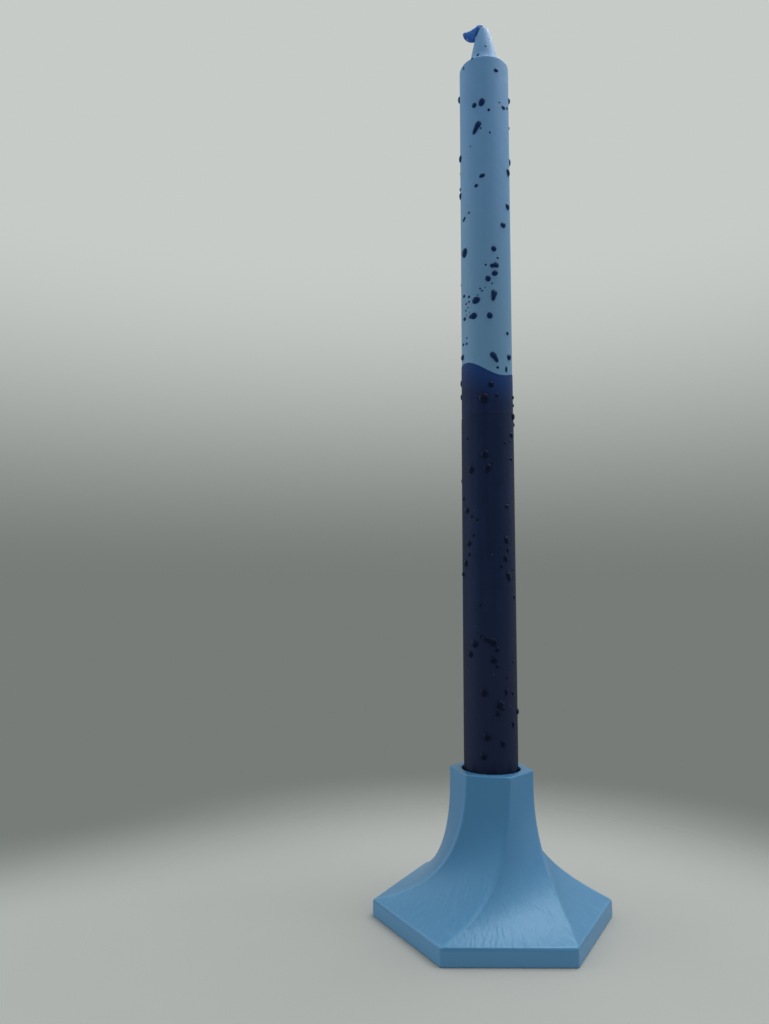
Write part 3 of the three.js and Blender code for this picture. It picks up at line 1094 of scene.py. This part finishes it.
    def surface_radius(self, azimuth: float, z: float) -> float:
        """Find the radius of whatever wax lies outermost on the straight wall.

        Args:
            azimuth: Azimuth of the place.
            z: Its height.

        Returns:
            The radius.
        """
        if z < self.second_line(azimuth):
            return self.dipped_radius
        if z < self.first_line(azimuth):
            return self.radius + self.coat + self.coat_gap
        return self.radius

    def seat(self, azimuth: float, z: float) -> Line:
        """Find what a drop lies on.

        Args:
            azimuth: Azimuth of the drop's middle.
            z: Its height.

        Returns:
            The radius under the drop as a function of height: one value on the wall, the profile above it.
        """
        profile = self.profile()
        on_wall = self.surface_radius(azimuth, z)

        def radius(heights: Values) -> Values:
            """Return the radius under the drop at some heights."""
            return np.interp(heights, profile[:, 1], profile[:, 0], left=on_wall)

        return radius

    def build(self) -> None:
        """Make the stick and its two coats and dress them."""
        body = mesh_piece("pale_stick", [self.stick_shell()])
        place(body, Body.CANDLE, Slot.PALE_WAX, PaleWax(), ["candle_body"])
        first = self.coat_shell(self.coat_gap, self.first_line, self.first_fade)
        piece = mesh_piece("royal_dip", [first])
        place(piece, Body.CANDLE, Slot.ROYAL_WAX, ROYAL_DIP, ["first_dip_coat"])
        second = self.coat_shell(2 * self.coat_gap + self.coat, self.second_line, self.second_fade)
        piece = mesh_piece("navy_dip", [second])
        place(piece, Body.CANDLE, Slot.NAVY_WAX, NAVY_DIP, ["second_dip_coat"])


# Wick and tail


@dataclass
class BentEnd:
    """The wick, straight up the candle and bent over at the top, with the wax that coats its tail."""

    stick: Stick
    wick_radius: float = 0.8
    wick_gap: float = 0.03
    bend_radius: float = 1.35
    bend_turn: float = 138.5
    length: float = 6.2
    cut_tilt: float = 9.0
    cut_bulge: float = 1.2
    collar_radius: float = 1.9
    bend_half: float = 1.15
    end_half_width: float = 3.5
    end_half_thickness: float = 1.45
    spread: float = 2.0
    strands: int = 4
    strand_pitch: float = 3.2
    strand_relief: float = 0.1
    wick_proud: float = 0.05
    cone_gap: float = 0.08
    lumps: float = 0.03
    lump_seed: int = 5
    waist: float = 0.06
    # Marks down the tail, from 0 at the bend's start to 1 on the cut
    bend_mark: float = 0.22
    tail_mark: float = 0.58
    edge_mark: float = 0.85
    cut_mark: float = 1.0
    bore_mark: float = 0.5
    # Marks of how far the wax has soaked into the wick, from 0 to 1
    bend_soaked: float = 0.3
    tail_soaked: float = 0.5
    cut_soaked: float = 1.0
    # Points and rings of the meshes
    sides: int = 48
    wick_rings: int = 500
    bend_rings: int = 20
    tail_rings: int = 16
    strand_rings: int = 26

    def __post_init__(self) -> None:
        """Work out the angles of a ring's points."""
        self.turn = np.radians(np.arange(self.sides) * 360 / self.sides)

    def station(self, bend: float, along: float) -> tuple[Array, Array, Array]:
        """Find the wick's middle, outward direction and heading at a place.

        Args:
            bend: Degrees round the bend.
            along: Distance past that place, straight ahead.

        Returns:
            The middle, the direction away from the bend's centre and the heading.
        """
        turn = math.radians(bend)
        outward = np.array([math.cos(turn), 0, math.sin(turn)])
        ahead = np.array([-math.sin(turn), 0, math.cos(turn)])
        centre = np.array([-self.bend_radius, 0, self.stick.cone_top])
        return centre + self.bend_radius * outward + along * ahead, outward, ahead

    def ring(self, bend: float, along: float, half_width: Values, half_thickness: Values) -> Array:
        """Lay out a ring square to the wick.

        Args:
            bend: Degrees round the bend.
            along: Distance past that place.
            half_width: Half size in the plane of the bend.
            half_thickness: Half size across it.

        Returns:
            The ring's points.
        """
        middle, outward, _ = self.station(bend, along)
        width = half_width * np.cos(self.turn)
        return self.around(middle, outward, width, half_thickness * np.sin(self.turn))

    @staticmethod
    def around(middle: Array, outward: Array, width: Array, thickness: Array) -> Array:
        """Return points beside a middle, from their distances in and across the plane of the bend."""
        return middle + width[:, None] * outward + thickness[:, None] * np.array([0, 1, 0])

    def cut(self, half_width: Values, half_thickness: Values, past: float = 0.0) -> Array:
        """Lay out a ring on the tail's slanted and bulging cut.

        Args:
            half_width: Half size in the plane of the bend.
            half_thickness: Half size across it.
            past: Distance past the cut.

        Returns:
            The ring's points.
        """
        middle, outward, ahead = self.station(self.bend_turn, self.length + past)
        width = half_width * np.cos(self.turn)
        slant = width * math.tan(math.radians(self.cut_tilt))
        bulge = self.cut_bulge * (1 - (width / self.end_half_width) ** 2)
        flat = self.around(middle, outward, width, half_thickness * np.sin(self.turn))
        return flat + (slant + bulge)[:, None] * ahead

    def clear_of_cone(self, points: Array) -> Array:
        """Move the points that are inside the candle's cone out onto it.

        Args:
            points: Rows of x, y and z.

        Returns:
            The same points, clear of the cone.
        """
        profile = self.stick.profile()
        cone = np.interp(points[:, 2], profile[:, 1], profile[:, 0], right=0.0) + self.cone_gap
        radius = np.hypot(points[:, 0], points[:, 1])
        push = np.where(points[:, 2] < self.stick.cone_top, np.maximum(1.0, cone / radius), 1.0)
        return points * np.stack([push, push, np.ones_like(push)], axis=1)

    def tail_sizes(self, share: float) -> tuple[float, float]:
        """Work out how wide and thick the tail is.

        Args:
            share: Share of the way down the tail.

        Returns:
            Half width and half thickness.
        """
        width = self.bend_half + (self.end_half_width - self.bend_half) * share**self.spread
        width -= self.waist * math.sin(math.pi * share)
        thickness = self.bend_half + (self.end_half_thickness - self.bend_half) * share
        return width, thickness

    def tail_shell(self) -> Loft:
        """Make the tail's wax: out along the wick, over the cut and back along the bore.

        Returns:
            The closed surface, marked with how far along the tail a place is.
        """
        loft = Loft(closes=True)
        bore = self.wick_radius + self.wick_gap
        rng = np.random.default_rng(self.lump_seed)
        phases = rng.uniform(0, 2 * math.pi, 3)
        bend_length = 4.0  # as the lumps count it

        def lumpy(distance: float) -> Array:
            """Work out how uneven the tail is.

            Args:
                distance: Distance along it.

            Returns:
                A factor about 1 for each point of a ring.
            """
            waves = [math.sin(distance * (0.9 + k) + phase) * np.cos((k + 2) * self.turn + phase)
                     for k, phase in enumerate(phases)]
            return 1 + self.lumps * np.sum(waves, axis=0)

        for share in np.linspace(0, 1, self.bend_rings):
            collar = (self.collar_radius - self.bend_half) * max(0.0, 1 - 3 * share) ** 1.5
            half = (self.bend_half + collar) * lumpy(share * bend_length)
            lift = self.wick_gap if share == 0 else 0.0
            loft.add(self.ring(share * self.bend_turn, lift, half, half), self.bend_mark * share)
        for share in np.linspace(0.06, 0.84, self.tail_rings):
            width, thickness = self.tail_sizes(share)
            uneven = lumpy(bend_length + share * self.length)
            ring = self.ring(self.bend_turn, share * self.length, width * uneven, thickness * uneven)
            loft.add(self.clear_of_cone(ring), self.bend_mark + self.tail_mark * share)
        uneven = lumpy(bend_length + self.length)
        width, thickness = self.tail_sizes(1.0)
        for inset, back in ((0.0, 0.4), (0.04, 0.18), (0.18, 0.04), (0.4, 0.0)):
            ring = self.cut(width * uneven - inset, thickness * uneven - inset, -back)
            loft.add(self.clear_of_cone(ring), self.edge_mark if back else self.cut_mark)
        loft.add(self.cut(bore, bore), self.cut_mark)
        for share in np.linspace(0.9, 0.1, 5):
            loft.add(self.ring(self.bend_turn, share * self.length, bore, bore), self.cut_mark)
        for share in np.linspace(1, 0, 12):
            loft.add(self.ring(share * self.bend_turn, 0, bore, bore), self.bore_mark)
        return loft

    def wick_shell(self) -> Loft:
        """Make the braided wick, from the candle's foot to its cut end.

        Returns:
            The surface, marked with how far the wax has soaked in.
        """
        loft = Loft()
        spin = 2 * math.pi / self.strand_pitch

        def braid(distance: float) -> Array:
            """Work out the braid's radius round the wick.

            Args:
                distance: Distance along the wick from the cone's top.

            Returns:
                The radius at each point of a ring.
            """
            one = np.cos(self.strands * self.turn + distance * spin)
            other = np.cos(self.strands * self.turn - distance * spin)
            return self.wick_radius - self.strand_relief * (1 - np.maximum(one, other)) / 2

        rise = self.stick.cone_top - self.stick.foot
        arc = math.radians(self.bend_turn) * self.bend_radius
        for along in np.linspace(-rise, 0, self.wick_rings)[:-1]:
            size = braid(along)
            loft.add(self.ring(0, along, size, size))
        for share in np.linspace(0, 1, self.strand_rings):
            size = braid(share * arc)
            loft.add(self.ring(share * self.bend_turn, 0, size, size), self.bend_soaked)
        for share in np.linspace(0.05, 0.95, self.strand_rings):
            size = braid(arc + share * self.length)
            loft.add(self.ring(self.bend_turn, share * self.length, size, size), self.tail_soaked)
        for shrink, past in ((1.0, 0.0), (0.97, 0.6), (0.8, 1.0)):
            size = braid(arc + self.length) * shrink
            loft.add(self.cut(size, size, past * self.wick_proud), self.cut_soaked)
        return loft

    def build(self) -> None:
        """Make the wick and the tail and dress them."""
        wick = mesh_piece("braided_wick", [self.wick_shell()])
        place(wick, Body.CANDLE, Slot.COTTON_WICK, CottonBraid(), ["wick"])
        tail = mesh_piece("wax_tail", [self.tail_shell()])
        place(tail, Body.CANDLE, Slot.TAIL_WAX, TailWax(), ["wick_wax"])


# Drops


@dataclass(frozen=True)
class Bead:
    """A domed drop of wax wrapped onto the candle's wall or cone."""

    azimuth: float
    height: float
    outline: Array
    rise: float
    rest: Line
    sunk: float = 0.12
    flatness: float = 2.3
    fullness: float = 0.62

    def loft(self) -> Loft:
        """Make its surface, from its foot inside the wax to its crown.

        Returns:
            The closed surface, marked towards its rim.
        """
        loft = Loft()
        shares = np.array([1.0, 1.0, 0.985, 0.95, 0.89, 0.8, 0.68, 0.52, 0.34, 0.16])
        lifts = self.rise * (1 - shares**self.flatness) ** self.fullness
        lifts[0] = -self.sunk
        for share, lift in zip(shares, lifts):
            side, up = (self.outline * share).T
            rest = self.rest(self.height + up)
            azimuth = self.azimuth + np.degrees(side / rest)
            loft.add(polar(azimuth, rest + lift, self.height + up), ease(0.7, 1.0, share))
        return loft


@dataclass
class Spatter:
    """The drops of dark wax: those that the frame holds, those melted into the coats and the finest ones."""

    stick: Stick
    outline_points: int = 28
    rise_share: float = 0.3
    run_share: float = 0.35
    flick_lean: float = 25.0
    flick_shrink: float = 0.84
    back_seed: int = 11
    back_flicks: int = 26
    back_azimuths: tuple[float, float] = (106, 238)
    back_heights: tuple[float, float] = (66, 362)
    back_turns: tuple[float, float] = (6, 13)
    back_falls: tuple[float, float] = (-1.5, 4.5)
    back_sizes: tuple[float, float] = (0.8, 1.7)
    back_shifts: tuple[float, float] = (-2, 2)
    back_stretches: tuple[float, float] = (0.8, 1.4)
    back_leans: tuple[float, float] = (-40, 40)
    back_shrink: float = 0.8

    def smooth_outline(self, points: Array) -> Array:
        """Draw a smooth line round some points.

        Args:
            points: Rows of side and up, in millimetres.

        Returns:
            The outline, anticlockwise round the points' middle.
        """
        hull = points[geometry.convex_hull_2d([tuple(point) for point in points])]
        middle = (hull.min(axis=0) + hull.max(axis=0)) / 2
        hull = hull - middle
        ends = np.roll(hull, -1, axis=0) - hull
        turns = np.linspace(0, 2 * math.pi, self.outline_points, endpoint=False)
        rays = np.stack([np.cos(turns), np.sin(turns)], axis=1)
        reach = []
        for ray in rays:
            cross = ray[0] * ends[:, 1] - ray[1] * ends[:, 0]
            cross = np.where(np.abs(cross) < 1e-9, 1e-9, cross)
            distance = (hull[:, 0] * ends[:, 1] - hull[:, 1] * ends[:, 0]) / cross
            place_on = (hull[:, 0] * ray[1] - hull[:, 1] * ray[0]) / cross
            inside = (distance > 0) & (place_on >= -1e-6) & (place_on <= 1 + 1e-6)
            reach.append(distance[inside].min())
        reach = np.array(reach)
        for _ in range(2):
            reach = (np.roll(reach, 1) + 2 * reach + np.roll(reach, -1)) / 4
        return middle + reach[:, None] * rays

    def bead_from_node(self, node: bpy.types.Object) -> Bead:
        """Read a drop's place, outline and height from its CAD node.

        Args:
            node: The node's object.

        Returns:
            The bead that stands for it.
        """
        points = np.array([vertex.co for vertex in node.data.vertices]) / MM
        middle = points.mean(axis=0)
        azimuth = math.degrees(math.atan2(middle[0], -middle[1]))
        turn = np.degrees(np.arctan2(points[:, 0], -points[:, 1])) - azimuth
        turn = (turn + 180) % 360 - 180
        radius = np.hypot(points[:, 0], points[:, 1])
        flat = np.stack([np.radians(turn) * self.stick.radius, points[:, 2] - middle[2]], axis=1)
        rise = radius.max() - self.stick.surface_radius(azimuth, middle[2])
        return Bead(azimuth, middle[2], self.smooth_outline(flat), rise, self.stick.seat(azimuth, middle[2]))

    def bead(self, azimuth: float, z: float, across: float, along: float, lean: float = 0.0,
             run: tuple[float, float] = (0.0, 0.0)) -> Bead:
        """Shape a drop from its sizes.

        Args:
            azimuth: Azimuth of its middle.
            z: Height of its middle.
            across: Size round the candle.
            along: Size up and down.
            lean: Clockwise lean, in degrees.
            run: Where its run ends, to the side and up.

        Returns:
            The bead.
        """
        turn = np.linspace(0, 2 * math.pi, 20, endpoint=False)
        side = 0.5 * across * np.cos(turn)
        up = 0.5 * along * np.sin(turn)
        cos = math.cos(math.radians(lean))
        sin = math.sin(math.radians(lean))
        ellipse = np.stack([side * cos + up * sin, up * cos - side * sin], axis=1)
        points = ellipse
        if run != (0.0, 0.0):
            points = np.concatenate([ellipse, np.array(run) + self.run_share * ellipse])
        rise = self.rise_share * min(across, along)
        return Bead(azimuth, z, self.smooth_outline(points), rise, self.stick.seat(azimuth, z))

    def build(self) -> None:
        """Make every drop and dress it."""
        for name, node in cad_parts.items():
            if name.startswith("wax_drop_"):
                piece = mesh_piece(f"bead_{name[-2:]}", [self.bead_from_node(node).loft()])
                place(piece, Body.CANDLE, Slot.DROP_WAX, PALE_DROPS, [name])
        fine = [self.bead(*row) for row in FINE_DROPS]
        fine.extend(self.back_spatter())
        groups = (
            ("melted_drops", MELTED_DROPS, [self.bead(*row) for row in self.melted_rows()]),
            ("fine_dark_drops", MELTED_DROPS, [bead for bead in fine if self.on_dip(bead)]),
            ("fine_pale_drops", PALE_DROPS, [bead for bead in fine if not self.on_dip(bead)]),
        )
        for name, finish, beads in groups:
            piece = mesh_piece(name, [bead.loft() for bead in beads])
            place(piece, Body.CANDLE, Slot.DROP_WAX, finish)

    def on_dip(self, bead: Bead) -> bool:
        """Return whether a drop lies on the dark dip coats."""
        return bead.height < self.stick.first_line(bead.azimuth)

    def melted_rows(self) -> list[DropRow]:
        """List the larger drops on the dark wax.

        Returns:
            Azimuth, height, size round, size up, lean and run of each.
        """
        low = Holder.height
        high = self.stick.foot + self.stick.first_dip
        rows = list(DARK_DROPS)
        for azimuth, share, turn, fall, count, size in DARK_FLICKS:
            lean = math.copysign(self.flick_lean, turn)
            for i in range(count):
                across = size * self.flick_shrink**i
                along = across * (1.2 if i % 2 else 0.9)
                rows.append((azimuth + turn * i, share - fall * i, across, along, lean))
        return [(row[0], low + row[1] * (high - low), *row[2:]) for row in rows]

    def back_spatter(self) -> Iterator[Bead]:
        """Scatter the finest drops over the back, in short rows that follow the brush.

        Yields:
            The beads, row by row.
        """
        rng = random.Random(self.back_seed)
        for _ in range(self.back_flicks):
            azimuth = rng.uniform(*self.back_azimuths)
            z = rng.uniform(*self.back_heights)
            turn = rng.choice((-1, 1)) * rng.uniform(*self.back_turns)
            fall = rng.uniform(*self.back_falls)
            size = rng.uniform(*self.back_sizes)
            for i in range(rng.randint(1, 4)):
                shift = rng.uniform(*self.back_shifts)
                across = size * self.back_shrink**i
                along = across * rng.uniform(*self.back_stretches)
                lean = rng.uniform(*self.back_leans)
                yield self.bead(azimuth + turn * i, z - fall * i + shift, across, along, lean)


# Azimuth, share of the way from the rim to the first dip line, size round, size up, lean and run
DARK_DROPS: tuple[DropRow, ...] = (
    (1, 0.954, 2.9, 2.5),
    (-15, 0.92, 4.4, 4.5),
    (67, 0.88, 2.6, 3.2),
    (57, 0.83, 3, 2.5),
    (-14, 0.777, 3.5, 3.8),
    (-47, 0.74, 3, 3.4),
    (-8, 0.743, 3.5, 3.2, 0, (-0.8, -2.1)),
    (38, 0.647, 3.6, 1.6, -20),
    (-61, 0.638, 2.8, 2.6),
    (34, 0.562, 2.7, 3.2),
    (-56, 0.554, 3, 2.6),
    (31, 0.517, 2.4, 3.2),
    (-67, 0.505, 2.6, 3.2),
    (38, 0.475, 2.6, 3, 0, (0.9, -2.5)),
    (1, 0.312, 3, 3.4, 0, (-5.2, 2)),
    (-42, 0.307, 3.5, 3.1),
    (-54, 0.281, 3, 2.7),
    (1, 0.27, 3.6, 2.8),
    (-21, 0.192, 3.1, 3.7),
    (28, 0.192, 1.6, 3.1),
    (13, 0.163, 3.8, 3.4, -35),
    (70, 0.14, 2.5, 2.6),
    (48, 0.113, 1.9, 2.8),
    (-15, 0.087, 3.6, 3.2),
    (19, 0.071, 2.7, 2.9),
    (-23, 0.041, 3.1, 3),
)

# Rows of drops: azimuth and share of the first, turn and fall from drop to drop, how many, size of the first
DARK_FLICKS = (
    (110, 0.9, 12, 0.05, 3, 2.8),
    (-115, 0.72, -10, 0.06, 4, 3),
    (160, 0.55, 11, 0.05, 3, 2.6),
    (-150, 0.36, 13, 0.05, 3, 2.8),
    (120, 0.22, -9, 0.045, 2, 3),
)

# Azimuth, height, size round, size up and lean of the fine drops on the front
FINE_DROPS: tuple[DropRow, ...] = (
    (3, 375.2, 0.9, 0.9),
    (-33, 371.2, 1.6, 1.0, -35),
    (-36, 367.0, 1.8, 1.4, 40),
    (-62, 364.6, 0.9, 1.6),
    (59, 345.3, 1.3, 1.2),
    (80, 338.4, 1.2, 1.4),
    (-95, 222.0, 1.6, 3.2),
    (-96, 216.0, 1.6, 2.6),
    (73, 214.9, 1.8, 1.8),
    (80, 211.7, 1.5, 1.6),
    (85, 203.4, 1.6, 2.0),
    (30, 345.6, 1.0, 0.6),
    (-16, 333, 0.8, 0.9),
    (5, 330.8, 1.0, 0.9),
    (-42, 326, 0.8, 0.6),
    (-48, 296, 1.4, 1.0),
    (20, 274.3, 1.1, 1.0),
    (7, 270.6, 2.1, 2.0),
    (-8, 271, 0.9, 0.9),
    (6, 262.7, 0.8, 0.8),
    (-10, 261, 0.6, 0.5),
    (-21, 260.7, 0.9, 0.8),
    (-17, 259.6, 1.0, 0.8),
    (-27, 258, 0.6, 0.6),
    (-50, 258.2, 1.4, 1.1),
    (-60, 255.6, 1.6, 0.8),
    (-50, 256, 1.1, 0.9),
    (-54, 253.6, 0.8, 0.7),
    (-61, 252.7, 1.0, 0.9),
    (-58, 250.6, 0.8, 0.6),
    (-49, 251.3, 0.6, 0.5),
    (-58, 240.4, 0.9, 0.8),
    (-74, 238.3, 1.8, 1.1),
    (-59, 237.9, 1.4, 1.1),
    (-93, 310.8, 1.4, 1.9),
    (-93, 307.0, 1.5, 2.2),
    (17, 226.1, 1.4, 1.2),
    (14, 214, 1.8, 1.5),
    (-57, 196.5, 1.2, 1.2),
    (50, 195, 2.0, 1.0),
    (33, 194, 1.4, 1.2),
    (54, 187.5, 1.8, 1.6),
    (2, 185, 1.0, 1.0),
    (-75, 171, 1.8, 1.7),
    (-46, 163, 1.4, 1.3),
    (-33, 161.5, 1.6, 1.4),
    (-42, 155, 1.2, 1.2),
    (38, 149, 1.6, 2.0),
    (-55, 147.2, 1.8, 1.6),
    (-70, 143, 1.8, 1.8),
    (20, 142.3, 1.8, 1.4),
    (54, 141, 1.8, 1.0),
    (-80, 139, 2.2, 2.4),
    (60, 129.5, 2.0, 1.8),
    (-28, 126.3, 1.4, 1.3),
    (-26, 113.6, 2.2, 1.0, -20),
    (-16, 112, 2.6, 0.9, 12),
    (-3, 110.6, 2.2, 0.8, 8),
    (8, 108.3, 2.2, 2.3),
    (52, 103, 2.0, 1.2),
    (8, 101.5, 1.9, 1.5),
    (31, 97, 1.2, 1.2),
    (48, 90.3, 2.0, 1.8),
    (20, 84.5, 2.0, 1.2),
    (8, 82.8, 2.5, 2.4),
)


# Stage


@dataclass(frozen=True)
class Lamp:
    """A soft rectangular lamp: where it hangs in millimetres, width and height in metres, power in watts."""

    name: str
    place_mm: tuple[float, float, float]
    size: tuple[float, float]
    power: float

    def hang(self, aim_mm: Sequence[float]) -> None:
        """Add the lamp to the scene.

        Args:
            aim_mm: What it faces.
        """
        data = bpy.data.lights.new(self.name, "AREA")
        data.shape = "RECTANGLE"
        data.size, data.size_y = self.size
        data.energy = self.power
        lamp = bpy.data.objects.new(self.name, data)
        bpy.context.scene.collection.objects.link(lamp)
        lamp.location = Vector(self.place_mm) * MM
        lamp.rotation_euler = (lamp.location - Vector(aim_mm) * MM).to_track_quat("Z", "Y").to_euler()


@dataclass
class Stage:
    """Camera, floor, background and lamps."""

    camera_place: tuple[float, float, float] = (-44.55, -323.12, 134.22)
    camera_pitch: float = 5.53
    camera_roll: float = 0.155
    lens: float = 26.6
    sensor: float = 36.0
    floor_radius: float = 250.0
    floor_thickness: float = 20.0
    floor_gap: float = 0.02
    floor_fades_from: float = 60.0
    floor_colour: Colour = srgb(160, 164, 161)
    sweep_colour: Colour = srgb(174, 179, 176)
    horizon_colour: Colour = srgb(119, 124, 120)
    sky_colour: Colour = srgb(198, 203, 199)
    ambient: float = 0.66
    lamps_aim: tuple[float, float, float] = (0.0, 0.0, 160.0)
    lamps: tuple[Lamp, ...] = (
        Lamp("top_lamp", (230, 80, 850), (0.5, 0.45), 4.0),
        Lamp("left_lamp", (-800, 120, 330), (0.9, 1.0), 2.75),
        Lamp("right_lamp", (800, 120, 210), (0.9, 0.45), 0.95),
        Lamp("front_lamp", (560, -260, 800), (0.6, 0.6), 0.8),
    )

    def camera(self) -> None:
        """Set up the camera at the photograph's viewing angle."""
        data = bpy.data.cameras.new("camera")
        data.sensor_fit = "AUTO"
        data.sensor_width = self.sensor
        data.lens = self.lens
        data.clip_start = 0.01
        camera = bpy.data.objects.new("camera", data)
        bpy.context.scene.collection.objects.link(camera)
        tilt = Euler((math.radians(90 + self.camera_pitch), 0, 0)).to_matrix().to_4x4()
        roll = Matrix.Rotation(math.radians(self.camera_roll), 4, "Z")
        camera.matrix_world = Matrix.Translation(Vector(self.camera_place) * MM) @ tilt @ roll
        bpy.context.scene.camera = camera

    def floor(self) -> None:
        """Lay the pale floor, which fades out into the background."""
        turn = np.arange(96) * 360 / 96
        loft = Loft()
        loft.add(polar(turn, self.floor_radius, -self.floor_thickness))
        for radius in (self.floor_radius, 200.0, 150.0, 100.0, self.floor_fades_from, 4.0):
            loft.add(polar(turn, radius, -self.floor_gap))
        floor = mesh_piece("floor", [loft])
        material = bpy.data.materials.new("pale_floor")
        material.use_nodes = True
        sheet = Sheet(material.node_tree)
        place_mm = sheet.millimetres()
        x, y, z = sheet.split(place_mm)
        distance = (x * x + y * y) ** 0.5
        shown = sheet.rise(distance, self.floor_radius, self.floor_fades_from) * sheet.rise(z, -1.0, -0.5)
        mottle = sheet.noise(place_mm, 0.02, 2.0)
        colour = sheet.blend(mottle * 0.1, self.floor_colour, self.horizon_colour)
        sheet.surface({"Base Color": colour, "Roughness": 0.8, "Alpha": shown, "Specular IOR Level": 0.2})
        floor.data.materials.append(material)

    def background(self) -> None:
        """Set the world: a plain soft light, seen by the camera and by gloss as a pale gradient."""
        world = bpy.data.worlds.new("studio")
        bpy.context.scene.world = world
        world.use_nodes = True
        sheet = Sheet(world.node_tree)
        coordinates = sheet.node("ShaderNodeTexCoord", {}, {})
        height = sheet.split(sheet.wire(coordinates, "Generated"))[2]
        below = sheet.blend(sheet.rise(height, -0.36, -0.27), self.sweep_colour, self.horizon_colour)
        seen = sheet.blend(sheet.rise(height, 0.0, 0.42), below, self.sky_colour)
        path = sheet.node("ShaderNodeLightPath", {}, {})
        rays = sheet.wire(path, "Is Camera Ray")
        for kind in ("Is Glossy Ray", "Is Transmission Ray"):
            rays = sheet.math("MAXIMUM", rays, sheet.wire(path, kind))
        light = sheet.node("ShaderNodeBackground", {}, {"Color": (1.0, 1.0, 1.0), "Strength": self.ambient})
        view = sheet.node("ShaderNodeBackground", {}, {"Color": seen, "Strength": 1.0})
        mixed = sheet.node("ShaderNodeMixShader", {}, {0: rays, 1: sheet.wire(light), 2: sheet.wire(view)})
        sheet.node("ShaderNodeOutputWorld", {}, {"Surface": sheet.wire(mixed)})

    def build(self) -> None:
        """Set the whole stage."""
        self.camera()
        self.floor()
        self.background()
        for lamp in self.lamps:
            lamp.hang(self.lamps_aim)
        bpy.context.scene.view_settings.view_transform = "Standard"


def main() -> None:
    """Build every part of the picture in order."""
    logging.basicConfig(level=logging.INFO, format="%(name)s: %(message)s")
    Stage().build()
    Holder().build()
    stick = Stick()
    stick.build()
    BentEnd(stick).build()
    Spatter(stick).build()
    bpy.context.view_layer.update()


if __name__ == "__main__":
    main()
